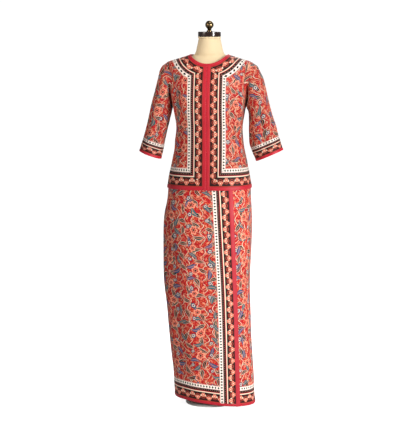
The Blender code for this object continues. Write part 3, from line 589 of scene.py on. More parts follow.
cellGroup = makeCellGroup()
flowerGroup = makeFlowerGroup(cellGroup)
leafGroup = makeLeafGroup(cellGroup)
fieldGroup = makeFieldGroup(cellGroup, flowerGroup, leafGroup)
borderGroup = makeBorderGroup()
edgeGroup = makeEdgeGroup()
weaveGroup = makeWeaveGroup()
driftGroup = makeDriftGroup()


def startMaterial(name, roughness, metallic=0.0, **sockets):
    material = bpy.data.materials.new(name)
    material.use_nodes = True
    shader = material.node_tree.nodes["Principled BSDF"]
    shader.inputs["Roughness"].default_value = roughness
    shader.inputs["Metallic"].default_value = metallic
    for key, value in sockets.items():
        shader.inputs[key].default_value = value
    return material, Sketch(material.node_tree), shader


def addBump(s, shader, height, distance, strength=1.0):
    bump = s.node("ShaderNodeBump")
    bump.inputs["Strength"].default_value = strength
    bump.inputs["Distance"].default_value = distance
    s.feed(bump.inputs["Height"], height)
    s.feed(shader.inputs["Normal"], bump.outputs["Normal"])


printCloth = {
    "roughness": 0.62, "thread": 0.0007, "unevenness": 0.25, "driftScale": 5.0, "drift": 0.10,
    "wrinkleScale": 26.0, "weaveRise": 0.12, "wrinkleRise": 2.2, "bump": 0.0006, "bumpStrength": 0.5,
}


def printMaterial(name, firstWins, scales, shifts=(0.0, 0.0, 0.0), tone=1.0):
    roughness = printCloth["roughness"]
    material, s, shader = startMaterial(name, roughness, **{
        "Sheen Weight": 0.04, "Sheen Roughness": 0.5, "Specular IOR Level": 0.25})
    cloth = s.node("ShaderNodeUVMap", uv_map="cloth").outputs[0]
    marks = {}
    for k, scale, shift in zip((1, 2, 3), scales, shifts):
        edge = s.node("ShaderNodeAttribute", attribute_name=f"edge{k}").outputs["Fac"]
        marks[f"Edge {k}"] = s.over(s.plus(edge, shift), scale)
        marks[f"Run {k}"] = s.node("ShaderNodeAttribute", attribute_name=f"run{k}").outputs["Fac"]
    nearest = s.group(edgeGroup, **marks, **{"First Wins": firstWins})
    edging = s.group(borderGroup, Distance=nearest["Distance"], Run=nearest["Run"])
    pattern = s.group(fieldGroup, Vector=cloth)
    colour = s.mix(edging["Mask"], pattern["Color"], edging["Color"])
    weave = s.group(weaveGroup, Vector=cloth, Thread=printCloth["thread"],
                    Unevenness=printCloth["unevenness"])
    # tone scales the whole print of this copy: below 1 it is painted shade, above 1 it is painted light
    shaded = s.vector("SCALE", colour, scale=s.times(weave["Shade"], tone))
    drift = s.group(driftGroup, Color=shaded, Vector=cloth, Scale=printCloth["driftScale"],
                    Amount=printCloth["drift"], Roughness=roughness)
    s.feed(shader.inputs["Base Color"], drift["Color"])
    s.feed(shader.inputs["Roughness"], drift["Roughness"])
    wrinkle = s.noise("3D", cloth, printCloth["wrinkleScale"], 3.0)["Fac"]
    rise = s.plus(s.times(weave["Height"], printCloth["weaveRise"]),
                  s.times(wrinkle, printCloth["wrinkleRise"]))
    addBump(s, shader, rise, printCloth["bump"], printCloth["bumpStrength"])
    return material


def plainMaterial(name, colour, roughness, thread, drift, scale, bump=0.0, metallic=0.0, **sockets):
    material, s, shader = startMaterial(name, roughness, metallic, **sockets)
    where = s.node("ShaderNodeTexCoord").outputs["Object"]
    tone = s.group(driftGroup, Color=colour, Vector=where, Scale=scale, Amount=drift, Roughness=roughness)
    s.feed(shader.inputs["Base Color"], tone["Color"])
    s.feed(shader.inputs["Roughness"], tone["Roughness"])
    if thread:
        x, y, z = s.split(where)
        sideways = s.plus(s.times(x, 0.8), s.times(y, 0.8))
        weave = s.group(weaveGroup, Vector=s.join(sideways, z), Thread=thread, Unevenness=0.4)
        addBump(s, shader, weave["Height"], bump, 0.6)
    return material


finishes = {
    # the jacket and sleeves share one cloth: their tones darken its print as painted shade, the sleeves most,
    # and the skirt's tone lightens its print as painted light
    "print jacket": printMaterial("printJacket", 0.0, (1.0, 1.0, 1.13), tone=0.89),
    "print sleeve": printMaterial("printSleeve", 0.0, (1.0, 1.0, 0.76), tone=0.79),
    "print skirt": printMaterial("printSkirt", 1.0, (1.08, 1.0, 1.08), (0.0, 0.0, 0.0035), 1.12),
    "crimson": plainMaterial("crimsonBinding", paint(188, 12, 38), 0.52, 0.0005, 0.16, 30.0, 0.0001,
                             **{"Sheen Weight": 0.12, "Sheen Roughness": 0.4}),
    "thread": plainMaterial("crimsonThread", paint(168, 12, 36), 0.5, None, 0.2, 200.0),
    "linen": plainMaterial("formLinen", paint(222, 201, 162), 0.78, 0.0009, 0.10, 14.0, 0.00025,
                           **{"Sheen Weight": 0.15}),
    "lacquer": plainMaterial("capLacquer", paint(38, 20, 14), 0.20, None, 0.5, 30.0,
                             **{"Coat Weight": 0.8, "Coat Roughness": 0.06}),
    "brass": plainMaterial("finialBrass", paint(128, 108, 78), 0.24, None, 0.5, 60.0, metallic=1.0),
    "steel": plainMaterial("poleSteel", paint(196, 196, 198), 0.26, None, 0.2, 40.0, metallic=1.0),
    "paint": plainMaterial("basePaint", paint(236, 235, 231), 0.4, None, 0.06, 12.0,
                           **{"Coat Weight": 0.25, "Coat Roughness": 0.2}),
}
print("finishes made")


# jacket

jacket = {
    "hemZ": 0.8380, "armpitZ": 1.1380, "tipZ": 1.3080, "neckSideZ": 1.3400,
    "neckFrontZ": 1.3070, "neckBackZ": 1.3270, "neckCurve": 2.2, "ridgeSlope": 0.30,
    "armholeFront": 0.058, "armholeBack": 0.054, "neckShare": 6 / 13,
    "wall": 0.0015, "waver": 0.00018,
    "columns": 52, "lowerRows": 84, "upperRows": 60, "hemSteps": 240, "frontSteps": 80,
    # z, half width, front, back, square, shift
    "rings": (
        (0.8260, 0.1612, 0.1225, 0.1205, 2.5, 0.0), (0.8460, 0.1590, 0.1215, 0.1190, 2.5, 0.0),
        (0.8860, 0.1525, 0.1190, 0.1150, 2.5, 0.0), (0.9460, 0.1408, 0.1140, 0.1045, 2.4, 0.0),
        (1.0060, 0.1290, 0.1090, 0.0920, 2.4, 0.0), (1.0610, 0.1249, 0.1080, 0.0860, 2.4, 0.0),
        (1.1160, 0.1325, 0.1190, 0.0920, 2.4, 0.0), (1.1380, 0.1360, 0.1210, 0.0960, 2.4, 0.0),
        (1.1860, 0.1430, 0.1165, 0.0980, 2.4, 0.0), (1.2360, 0.1500, 0.1060, 0.0950, 2.3, 0.0),
        (1.2760, 0.1570, 0.0920, 0.0880, 2.2, 0.0), (1.2960, 0.1625, 0.0830, 0.0820, 2.1, 0.0),
        (1.3080, 0.1630, 0.0765, 0.0780, 2.0, 0.0), (1.3140, 0.1530, 0.0735, 0.0755, 2.0, 0.0),
        (1.3200, 0.1340, 0.0700, 0.0725, 2.0, 0.0), (1.3270, 0.1100, 0.0650, 0.0690, 2.0, 0.0),
        (1.3340, 0.0880, 0.0600, 0.0640, 2.0, 0.0), (1.3400, 0.0695, 0.0560, 0.0590, 2.0, 0.0),
        (1.3460, 0.0600, 0.0540, 0.0540, 2.0, 0.0),
    ),
    # top, degrees there, bottom, degrees there, width, height
    "folds": (
        (1.241, -58, 1.071, -40, 0.012, -0.0030), (1.221, -47, 1.086, -33, 0.011, 0.0022),
        (1.236, 57, 1.076, 41, 0.012, -0.0032), (1.211, 48, 1.096, 35, 0.010, 0.0020),
        (1.106, 82, 0.916, 64, 0.013, 0.0025), (1.086, -84, 0.936, -66, 0.012, 0.0022),
        (1.006, 52, 0.846, 57, 0.016, 0.0022), (0.996, -50, 0.848, -58, 0.015, 0.0020),
        (1.136, 150, 0.946, 168, 0.016, 0.0022), (1.116, 208, 0.966, 194, 0.015, 0.0020),
        (0.986, 140, 0.846, 134, 0.018, 0.0020), (0.976, 218, 0.846, 226, 0.017, 0.0022),
    ),
    "creases": (
        (1.262, -50, 1.150, -28, 0.007, 0.0011), (1.255, 49, 1.140, 27, 0.007, 0.0012),
        (1.290, -64, 1.090, -70, 0.009, 0.0036), (1.285, 63, 1.085, 71, 0.009, 0.0036),
        (1.285, 117, 1.090, 110, 0.009, 0.0026), (1.285, 243, 1.090, 250, 0.009, 0.0026),
        (1.200, -66, 1.100, -52, 0.006, 0.0010), (1.196, 68, 1.090, 53, 0.006, 0.0011),
        (1.120, -30, 1.020, -40, 0.007, -0.0008), (1.115, 28, 1.010, 38, 0.007, -0.0008),
        (1.060, 74, 0.960, 88, 0.007, 0.0012), (1.055, -72, 0.965, -86, 0.007, 0.0012),
        (0.960, 30, 0.850, 34, 0.010, 0.0010), (0.950, -28, 0.850, -33, 0.010, 0.0010),
        (0.930, 78, 0.845, 84, 0.009, 0.0011), (0.925, -76, 0.845, -82, 0.009, 0.0011),
        (1.240, 132, 1.120, 146, 0.008, 0.0012), (1.236, 226, 1.116, 212, 0.008, 0.0012),
        (1.080, 128, 0.980, 142, 0.007, 0.0010), (1.076, 232, 0.970, 220, 0.007, 0.0011),
        (0.960, 160, 0.850, 164, 0.010, 0.0010), (0.955, 200, 0.850, 196, 0.010, 0.0010),
        (1.060, 172, 0.990, 188, 0.006, -0.0007), (1.270, 168, 1.180, 176, 0.009, 0.0008),
    ),
}


def neckPlace(share, behind, grow):  # the neckline's turn and z, from the middle to the shoulder
    share = np.asarray(share, float)
    sideZ = jacket["neckSideZ"] - grow * jacket["ridgeSlope"]
    low = (jacket["neckBackZ"] if behind else jacket["neckFrontZ"]) - grow
    z = low + (sideZ - low) * share ** jacket["neckCurve"]
    sideX = readRow(jacket["rings"], sideZ)[0]
    turn = turnAtX(jacket["rings"], sideX * share, z, behind)
    return np.where(share >= 1, math.pi / 2, turn), z


def armholePlace(turn, inset=0.0):
    halfHeight = (jacket["tipZ"] - jacket["armpitZ"]) / 2 - inset
    halfDepth = np.where(np.sin(turn) > 0, jacket["armholeFront"], jacket["armholeBack"]) - inset
    z = (jacket["tipZ"] + jacket["armpitZ"]) / 2 - halfHeight * np.cos(turn)
    y = -halfDepth * np.sin(turn)
    halfWidth, front, back, square, _ = readRow(jacket["rings"], z)
    depth = np.where(y < 0, front, back)
    x = halfWidth * (1 - np.abs(y / depth) ** square) ** (1 / square)
    return np.arctan2(x, -y), z


def halfPanel(behind):  # turns measured from the panel's own middle, and heights
    middleGap = 0.0 if behind else gap / 2
    columns, upperRows, lowerRows = jacket["columns"], jacket["upperRows"], jacket["lowerRows"]
    flip = (lambda turn: math.pi - turn) if behind else (lambda turn: turn)

    def seamTurn(z):
        return math.pi / 2 - gap / 2 / readRow(jacket["rings"], z)[0]

    def middleTurn(z):
        return middleGap / readRow(jacket["rings"], z)[2 if behind else 1]

    def limited(turn, z):
        return np.stack((np.clip(flip(turn), middleTurn(z), seamTurn(z)), z), axis=-1)

    u = np.linspace(0, 1, columns + 1)
    v = np.linspace(0, 1, upperRows + 1)
    neckShare = jacket["neckShare"]
    onNeck = limited(*neckPlace(np.minimum(u / neckShare, 1.0), behind, 0.0))
    ridgeZ = jacket["neckSideZ"] + (jacket["tipZ"] - jacket["neckSideZ"]) * (u - neckShare) / (1 - neckShare)
    onRidge = np.stack((seamTurn(ridgeZ), ridgeZ), axis=-1)
    top = np.where((u < neckShare - 1e-6)[:, None], onNeck, onRidge)
    hole = limited(*armholePlace(math.pi * v * (-1 if behind else 1)))
    neckZ = jacket["neckBackZ"] if behind else jacket["neckFrontZ"]
    middleZ = jacket["armpitZ"] + (neckZ - jacket["armpitZ"]) * v
    middle = np.stack((middleTurn(middleZ), middleZ), axis=-1)
    armpitZ = np.full(columns + 1, jacket["armpitZ"])
    start = middleTurn(armpitZ)
    base = np.stack((start + (seamTurn(armpitZ) - start) * u, armpitZ), axis=-1)
    U, V = u[None, :, None], v[:, None, None]
    upper = ((1 - V) * base[None] + V * top[None] + (1 - U) * middle[:, None] + U * hole[:, None]
             - (1 - V) * ((1 - U) * base[0] + U * base[-1]) - V * ((1 - U) * top[0] + U * top[-1]))
    z = np.linspace(jacket["hemZ"], jacket["armpitZ"], lowerRows + 1)[:-1, None] + 0 * u[None]
    first = middleTurn(z)
    lower = np.stack((first + (seamTurn(z) - first) * u[None], z), axis=-1)
    return np.concatenate((lower, upper))


def neckLine(grow=0.0, steps=40):  # all round, from the centre front towards +X
    share = np.linspace(0, 1, steps)
    turn, z = neckPlace(share, False, grow)
    turnBack, zBack = neckPlace(share, True, grow)
    turns = np.concatenate((turn, turnBack[::-1][1:], tau - turnBack[1:], (tau - turn[::-1])[1:]))
    return turns, np.concatenate((z, zBack[::-1][1:], zBack[1:], z[::-1][1:]))


neckPath = ringPoint(jacket, *neckLine())
hemPath = ringPoint(jacket, np.linspace(0, tau, jacket["hemSteps"]), jacket["hemZ"])
frontPath = ringPoint(jacket, 0.0, np.linspace(jacket["hemZ"], jacket["neckFrontZ"], jacket["frontSteps"]))
frontEdges = {1: frontPath, 2: neckPath, 3: hemPath}
backEdges = {2: neckPath, 3: hemPath}

mirrored, turnedRound = np.array((-1, 1)), np.array((math.pi, 0))
frontPlaces, backPlaces = halfPanel(False), halfPanel(True)
backPlaces = np.concatenate((backPlaces[:, ::-1] * mirrored, backPlaces[:, 1:]), axis=1) + turnedRound

jacketPanels = {  # offset is the print's shift across, counted from the middle's column
    "kebayaFrontLeft": {"node": "kebaya_front_left", "flat": (0.231, 0.540), "offset": 0.031,
                        "places": frontPlaces, "middle": 0, "edges": frontEdges},
    "kebayaFrontRight": {"node": "kebaya_front_right", "flat": (0.231, 0.540), "offset": 0.031,
                         "places": frontPlaces[:, ::-1] * mirrored, "middle": -1, "edges": frontEdges},
    "kebayaBack": {"node": "kebaya_back", "flat": (0.459, 0.550), "offset": 0.447,
                   "places": backPlaces, "middle": jacket["columns"], "edges": backEdges},
}
cuts = {}  # each sheet's flat width and length, and its area

for name, about in jacketPanels.items():
    turn, z = about["places"][..., 0], about["places"][..., 1]
    outer = ringPoint(jacket, turn, z)
    inner = liftedPoint(jacket, turn, z, -jacket["wall"])
    width = runs(outer, 1)
    width = width - width[:, [about["middle"]]]
    uv = np.stack((width + about["offset"], runs(outer, 0)), axis=-1)
    marks = {"edge1": np.ones_like(z), "run1": np.zeros_like(z)}
    for k, line in about["edges"].items():
        marks[f"edge{k}"], marks[f"run{k}"] = alongLine(line, outer)
    place(gridObject(name, outer, inner, uv, marks), "print_cloth", finishes["print jacket"], about["node"])
    cuts[name] = (*about["flat"], outerArea(outer))
print("jacket panels made")


# bindings

binding = {
    "front": 0.0125, "neck": 0.008, "hem": 0.0125, "rows": 9, "thick": 0.0010, "edgeShare": 0.30,
    "roundness": 0.35, "frontRows": 170, "hemColumns": 320, "neckSteps": 60,
    "neckTurnGap": 0.0015, "hemDepth": 0.12,
}
bandPoints = {}  # each binding's outer points, for its stitches


def rolled(t):  # a binding's thickness over its width: full in the middle, soft at its edges
    edge = binding["edgeShare"]
    swell = np.clip(np.sin(math.pi * t), 0, 1) ** binding["roundness"]
    return binding["thick"] * (edge + (1 - edge) * swell)


def makeBinding(name, node, garment, turn, z, widthAxis, inset=0.0):
    t = np.linspace(0, 1, turn.shape[widthAxis])
    thick = rolled(t[:, None] if widthAxis == 0 else t[None, :]) + 0 * turn
    outer = liftedPoint(garment, turn, z, gap + thick - inset)
    inner = liftedPoint(garment, turn, z, gap - inset + 0 * turn)
    place(gridObject(name, outer, inner), "crimson_band", finishes["crimson"], node)
    bandPoints[name] = outer


across = np.linspace(0, 1, binding["rows"])
neckSideX = readRow(jacket["rings"], jacket["neckSideZ"] - binding["neck"] * jacket["ridgeSlope"])[0]
topZ = neckPlace(across * binding["front"] / neckSideX, False, binding["neck"])[1] - 2 * gap
up = np.linspace(0, 1, binding["frontRows"])[:, None]
frontZ = jacket["hemZ"] + (topZ[None] - jacket["hemZ"]) * up
firstTurn = gap / 2 / readRow(jacket["rings"], frontZ)[1]
frontTurn = firstTurn + (turnAtX(jacket["rings"], binding["front"], frontZ) - firstTurn) * across[None]
makeBinding("frontBandLeft", "front_band_left", jacket, frontTurn, frontZ, 1)
makeBinding("frontBandRight", "front_band_right", jacket, -frontTurn[:, ::-1], frontZ[:, ::-1], 1)

edgeTurn = float(turnAtX(jacket["rings"], binding["front"], jacket["hemZ"])) + 2 * gap / binding["hemDepth"]
hemTurn, hemRise = np.meshgrid(np.linspace(edgeTurn, tau - edgeTurn, binding["hemColumns"]), across)
makeBinding("kebayaHemBand", "kebaya_hem_band", jacket, hemTurn, jacket["hemZ"] + binding["hem"] * hemRise, 0)

grown = [neckLine(binding["neck"] * (1 - t), binding["neckSteps"]) for t in across]
neckTurn, neckZ = (np.stack(rows) for rows in zip(*grown))
neckTurn[:, 0], neckTurn[:, -1] = binding["neckTurnGap"], tau - binding["neckTurnGap"]
makeBinding("neckBand", "neck_band", jacket, neckTurn, neckZ, 0)
print("jacket bindings made")


# sleeves

# rows: outer x, outer z, inner x, inner z, half depth, middle y
sleeveRight = {
    "name": "sleeveRight", "node": "sleeve_right", "band": "cuffBandRight", "bandNode": "cuff_band_right",
    "side": -1, "wall": 0.0015, "cuffBand": 0.007, "flat": (0.395, 0.353), "offset": 0.655,
    "tucks": ((52, 42, 0.0290), (316, 34, 0.0150)),  # degrees, reach, depth: creases under the arm
    "rows": (
        (0.1780, 1.2980, 0.1405, 1.1370, 0.0580, 0.000), (0.1885, 1.2810, 0.1420, 1.1340, 0.0600, -0.001),
        (0.1960, 1.2505, 0.1435, 1.1280, 0.0610, -0.002), (0.2050, 1.2140, 0.1455, 1.1170, 0.0610, -0.004),
        (0.2150, 1.1760, 0.1490, 1.1020, 0.0600, -0.006), (0.2228, 1.1450, 0.1525, 1.0860, 0.0590, -0.008),
        (0.2320, 1.0990, 0.1580, 1.0630, 0.0575, -0.011), (0.2427, 1.0547, 0.1650, 1.0310, 0.0555, -0.014),
        (0.2505, 1.0244, 0.1705, 1.0020, 0.0535, -0.017), (0.2585, 1.0010, 0.1755, 0.9740, 0.0520, -0.019),
        (0.2655, 0.9765, 0.1835, 0.9460, 0.0505, -0.020),
    ),
    "folds": (
        (0.12, 62, 1.04, 68, 0.013, -0.0100), (0.12, 104, 1.02, 112, 0.013, 0.0034),
        (0.30, 32, 0.80, 40, 0.008, 0.0022), (0.25, 228, 0.85, 250, 0.012, 0.0034),
        (0.15, 300, 0.70, 276, 0.011, -0.0030),
    ),
    "creases": (
        (0.12, 24, 0.55, 44, 0.006, 0.0013), (0.30, 130, 0.95, 168, 0.008, 0.0014),
        (0.45, 76, 0.98, 96, 0.007, -0.0012), (0.10, 200, 0.60, 214, 0.008, 0.0012),
        (0.40, 262, 0.95, 286, 0.008, 0.0013), (0.20, 330, 0.70, 318, 0.007, 0.0012),
    ),
}
sleeveLeft = {
    "name": "sleeveLeft", "node": "sleeve_left", "band": "cuffBandLeft", "bandNode": "cuff_band_left",
    "side": 1, "wall": 0.0015, "cuffBand": 0.007, "flat": (0.400, 0.350), "offset": 0.213,
    "tucks": ((54, 42, 0.0290), (314, 34, 0.0150)),
    "rows": (
        (0.1790, 1.2980, 0.1400, 1.1375, 0.0580, 0.000), (0.1885, 1.2810, 0.1425, 1.1350, 0.0600, -0.001),
        (0.2035, 1.2505, 0.1455, 1.1310, 0.0610, -0.002), (0.2115, 1.2210, 0.1478, 1.1230, 0.0610, -0.004),
        (0.2190, 1.1890, 0.1492, 1.1100, 0.0600, -0.006), (0.2290, 1.1490, 0.1498, 1.0880, 0.0590, -0.008),
        (0.2410, 1.1080, 0.1500, 1.0640, 0.0575, -0.011), (0.2540, 1.0710, 0.1508, 1.0340, 0.0560, -0.014),
        (0.2607, 1.0460, 0.1530, 1.0080, 0.0545, -0.017), (0.2690, 1.0210, 0.1620, 0.9805, 0.0530, -0.019),
        (0.2803, 0.9848, 0.1800, 0.9413, 0.0520, -0.020),
    ),
    "folds": (
        (0.10, 62, 0.75, 78, 0.010, -0.0034), (0.34, 98, 1.06, 90, 0.012, -0.0095),
        (0.30, 128, 1.02, 126, 0.012, 0.0032), (0.22, 232, 0.88, 246, 0.012, 0.0034),
        (0.12, 304, 0.66, 280, 0.011, -0.0030),
    ),
    "creases": (
        (0.10, 26, 0.50, 42, 0.006, 0.0013), (0.35, 150, 0.95, 172, 0.008, 0.0014),
        (0.50, 70, 0.98, 84, 0.007, 0.0012), (0.12, 204, 0.58, 216, 0.008, 0.0012),
        (0.42, 260, 0.92, 282, 0.008, 0.0013), (0.22, 334, 0.68, 322, 0.007, 0.0012),
    ),
}

sleeveCloth = {  # seam, rise and tuck are counted in the sleeve's own rows, from the armhole down
    "rows": 120, "columns": 112, "bandColumns": 160, "waver": 0.0003,
    "seamRows": 4, "riseRows": 0.25, "tuckRow": 0.80, "tuckSpan": 0.44,
}


def sleevePoint(sleeve, turn, k):  # k is 0 at the armhole seam and the number of rows at the cuff
    turn, k = np.broadcast_arrays(np.asarray(turn, float), np.asarray(k, float))
    tipX = float(ringPoint(jacket, *armholePlace(np.array(math.pi), gap))[0])
    armpitX = float(ringPoint(jacket, *armholePlace(np.array(0.0), gap))[0])
    start = (tipX, jacket["tipZ"], armpitX, jacket["armpitZ"], jacket["armholeFront"], 0.0)
    rows = [(i, *row) for i, row in enumerate((start, *sleeve["rows"]))]
    outerX, outerZ, innerX, innerZ, depth, middleY = readRow(rows, k)
    degrees = np.degrees(turn)
    share = k / (len(rows) - 1)
    rise = sum(foldRise(sleeve[key], degrees, share, depth) for key in ("folds", "creases"))
    rise = rise + sleeveCloth["waver"] * np.sin(turn * 5 + k * 2.1) * np.sin(k * 1.7 + turn * 2)
    tuck = np.exp(-((k - sleeveCloth["tuckRow"]) / sleeveCloth["tuckSpan"]) ** 2)
    for middle, reach, deep in sleeve["tucks"]:
        away = (degrees - middle + 180) % 360 - 180
        rise = rise - deep * np.exp(-(away / reach) ** 2) * tuck

    def oval(row, extra):
        ox, oz, ix, iz, deep, my = row
        halfX, halfZ = (ox - ix) / 2, (oz - iz) / 2
        grow = 1 + extra / np.sqrt(halfX ** 2 + halfZ ** 2)
        return np.stack(((ox + ix) / 2 - halfX * grow * np.cos(turn), my - (deep + extra) * np.sin(turn),
                         (oz + iz) / 2 - halfZ * grow * np.cos(turn)), axis=-1)

    seam = ringPoint(jacket, *armholePlace(turn, gap))
    seam[..., 0] = np.abs(seam[..., 0])
    ease = np.maximum(0.0, 1 - k / sleeveCloth["seamRows"]) ** 1.5
    rise = rise * np.clip(k / sleeveCloth["riseRows"], 0, 1)
    points = oval((outerX, outerZ, innerX, innerZ, depth, middleY), rise)
    points = points + ease[..., None] * (seam - oval(start, 0.0))
    return points * np.array((sleeve["side"], 1, 1))


def sleeveLifted(sleeve, turn, k, lift):
    step, last = 2e-3, len(sleeve["rows"])
    across = sleevePoint(sleeve, turn + step, k) - sleevePoint(sleeve, turn - step, k)
    above, below = np.maximum(k - step, 0), np.minimum(k + step, last)
    up = sleevePoint(sleeve, turn, above) - sleevePoint(sleeve, turn, below)
    normal = np.cross(across, up) * sleeve["side"]
    normal /= np.linalg.norm(normal, axis=-1, keepdims=True)
    return sleevePoint(sleeve, turn, k) + normal * np.asarray(lift)[..., None]


def makeSleeve(sleeve):
    last, side = len(sleeve["rows"]), sleeve["side"]
    turn, k = np.meshgrid(np.linspace(0, tau, sleeveCloth["columns"] + 1),
                          np.linspace(last, 0, sleeveCloth["rows"]))
    outer = sleevePoint(sleeve, turn, k)
    inner = sleeveLifted(sleeve, turn, k, -sleeve["wall"] + 0 * k)
    edge, run = alongLine(outer[0], outer)
    width = runs(outer, 1)
    width = width / width[:, -1:] * width[0, -1]
    uv = np.stack((width * side + sleeve["offset"], runs(outer, 0)), axis=-1)
    far, still = np.ones_like(edge), np.zeros_like(edge)
    marks = {"edge1": far, "run1": still, "edge2": far, "run2": still, "edge3": edge, "run3": run}
    outer, inner, uv = (grid[:, ::side] for grid in (outer, inner, uv))
    marks = {key: value[:, ::side][:, :-1] for key, value in marks.items()}
    piece = gridObject(sleeve["name"], outer[:, :-1], inner[:, :-1], uv, marks, around=True)
    place(piece, "print_cloth", finishes["print sleeve"], sleeve["node"])
    cuts[sleeve["name"]] = (*sleeve["flat"], outerArea(outer))

    rowHeight = sleeve["rows"][-2][1] - sleeve["rows"][-1][1]
    turn, k = np.meshgrid(np.linspace(0, tau, sleeveCloth["bandColumns"], endpoint=False),
                          last - across * sleeve["cuffBand"] / rowHeight)
    outer = sleeveLifted(sleeve, turn, k, gap + rolled(across[:, None]) + 0 * k)[:, ::side]
    inner = sleeveLifted(sleeve, turn, k, gap + 0 * k)[:, ::side]
    band = gridObject(sleeve["band"], outer, inner, around=True)
    place(band, "crimson_band", finishes["crimson"], sleeve["bandNode"])
    bandPoints[sleeve["band"]] = outer


makeSleeve(sleeveLeft)
makeSleeve(sleeveRight)
print("sleeves made")


# sarong

skirt = {
    "hemZ": 0.0200, "hemSlope": -0.085, "topZ": 1.0407, "waistbandTopZ": 1.0710,
    "wall": 0.0015, "waistbandWall": 0.0020, "waver": 0.00022,
    "lapBand": 0.0150, "hemBand": 0.0100, "rows": 200, "lapBandRows": 320,
    "waistbandRows": 8, "waistbandColumns": 128, "waistbandPrint": 0.66,
    "underFrom": 15 / 23,  # where the under lap begins, as a share of the outer lap
    "underClear": 4, "underEase": 28,  # degrees past the lap's edge over which it comes out
    "rings": (
        (0.0000, 0.1540, 0.1120, 0.1050, 2.3, 0.0240), (0.0610, 0.1545, 0.1130, 0.1080, 2.3, 0.0190),
        (0.1260, 0.1550, 0.1140, 0.1110, 2.3, 0.0155), (0.2510, 0.1580, 0.1170, 0.1150, 2.3, 0.0040),
        (0.3760, 0.1615, 0.1190, 0.1200, 2.3, -0.0040), (0.5010, 0.1650, 0.1220, 0.1240, 2.4, -0.0110),
        (0.6260, 0.1675, 0.1250, 0.1280, 2.4, -0.0085), (0.6860, 0.1680, 0.1255, 0.1290, 2.4, -0.0075),
        (0.7360, 0.1660, 0.1240, 0.1270, 2.5, -0.0055), (0.7960, 0.1585, 0.1190, 0.1210, 2.5, -0.0015),
        (0.8420, 0.1560, 0.1175, 0.1160, 2.5, 0.0), (0.8860, 0.1485, 0.1140, 0.1100, 2.5, 0.0),
        (0.9460, 0.1365, 0.1080, 0.0990, 2.4, 0.0), (1.0060, 0.1255, 0.1008, 0.0880, 2.4, 0.0),
        (1.0407, 0.1222, 0.0975, 0.0835, 2.4, 0.0), (1.0710, 0.1224, 0.0950, 0.0830, 2.4, 0.0),
    ),
    "folds": (
        (0.850, -24, -0.150, -26, 0.030, 0.0042), (0.840, -52, -0.120, -50, 0.024, -0.0040),
        (0.786, -74, 0.286, -68, 0.020, 0.0030), (0.606, -62, 0.046, -60, 0.014, 0.0014),
        (0.746, -86, 0.166, -78, 0.018, -0.0022), (0.546, 70, 0.066, 66, 0.018, 0.0024),
        (0.786, 100, 0.286, 108, 0.022, 0.0026), (0.686, 150, 0.106, 156, 0.022, 0.0030),
        (0.626, 196, 0.086, 202, 0.020, 0.0028), (0.766, 246, 0.246, 238, 0.022, 0.0026),
    ),
    "creases": (
        (0.700, -34, 0.420, -30, 0.010, 0.0010), (0.560, -20, 0.240, -18, 0.012, -0.0009),
        (0.450, -62, 0.120, -60, 0.010, 0.0011), (0.820, -40, 0.640, -46, 0.009, 0.0010),
        (0.800, 62, 0.600, 70, 0.009, 0.0011), (0.380, 84, 0.100, 80, 0.011, 0.0010),
        (0.640, 128, 0.300, 134, 0.011, 0.0012), (0.480, 176, 0.100, 180, 0.012, 0.0011),
        (0.740, 222, 0.420, 216, 0.011, 0.0012), (0.400, 252, 0.080, 256, 0.012, 0.0010),
        (0.300, -8, 0.060, -6, 0.012, 0.0008), (0.880, 12, 0.700, 16, 0.010, 0.0008),
    ),
    # where the outer lap ends: z, x
    "lapEdge": ((0.0000, 0.1290), (0.2860, 0.1205), (0.5660, 0.1110), (0.8420, 0.0985), (1.0407, 0.0800)),
}


def skirtHemZ(turn):
    halfWidth, _, _, _, shift = readRow(skirt["rings"], skirt["hemZ"])
    return skirt["hemZ"] + skirt["hemSlope"] * (shift + halfWidth * np.sin(turn))


def lapTurn(z, back=0.0):
    return turnAtX(skirt["rings"], curveThrough(*zip(*skirt["lapEdge"]), z) - back, z)


def sideTurn(quarter, side, z):
    return quarter + side * gap / 2 / readRow(skirt["rings"], z)[0]


def skirtGrid(turnAt, columns, rows):  # turnAt(share, z) gives a column's turn at a height
    share = np.linspace(0, 1, columns + 1)[None]
    low = skirtHemZ(turnAt(share, np.full_like(share, skirt["hemZ"])))
    t = np.linspace(0, 1, rows + 1)[:, None]
    z = low + (skirt["topZ"] - low) * t
    return turnAt(share + 0 * z, z), z


def outerTurnAt(share, z):
    start = sideTurn(-math.pi / 2, 1, z)
    return start + (lapTurn(z) - start) * share


def underTurnAt(share, z):
    start = sideTurn(-math.pi / 2, 1, z)
    start = start + (lapTurn(z, skirt["lapBand"]) - start) * skirt["underFrom"]
    return start + (sideTurn(math.pi / 2, -1, z) - start) * share


def backTurnAt(share, z):
    start = sideTurn(math.pi / 2, 1, z)
    return start + (sideTurn(tau - math.pi / 2, -1, z) - start) * share


def underInset(turn, z):  # one layer in beneath the outer lap, coming out beyond its edge
    past = turn - lapTurn(z) - math.radians(skirt["underClear"])
    past = np.clip(past / math.radians(skirt["underEase"]), 0, 1)
    return (skirt["wall"] + 2 * gap) * (1 - past * past * (3 - 2 * past))


skirtPanels = {
    "sarongOuterLap": {"node": "sarong_outer_lap", "turnAt": outerTurnAt, "columns": 132, "offset": 0.0},
    "sarongUnderLap": {"node": "sarong_under_lap", "turnAt": underTurnAt, "columns": 90, "offset": 0.61},
    "sarongBack": {"node": "sarong_back", "turnAt": backTurnAt, "columns": 130, "offset": 0.93},
}

hemBands = {  # node, panel, where on it the strip starts and ends, columns
    "sarongHemBandOuter": ("sarong_hem_band_outer", "sarongOuterLap", 0.0, 0.958, 170),
    "sarongHemBandUnder": ("sarong_hem_band_under", "sarongUnderLap", 0.612, 1.0, 70),
    "sarongHemBandBack": ("sarong_hem_band_back", "sarongBack", 0.0, 1.0, 170),
}


def insetOf(panel, turn, z):
    return underInset(turn, z) if panel == "sarongUnderLap" else 0 * z


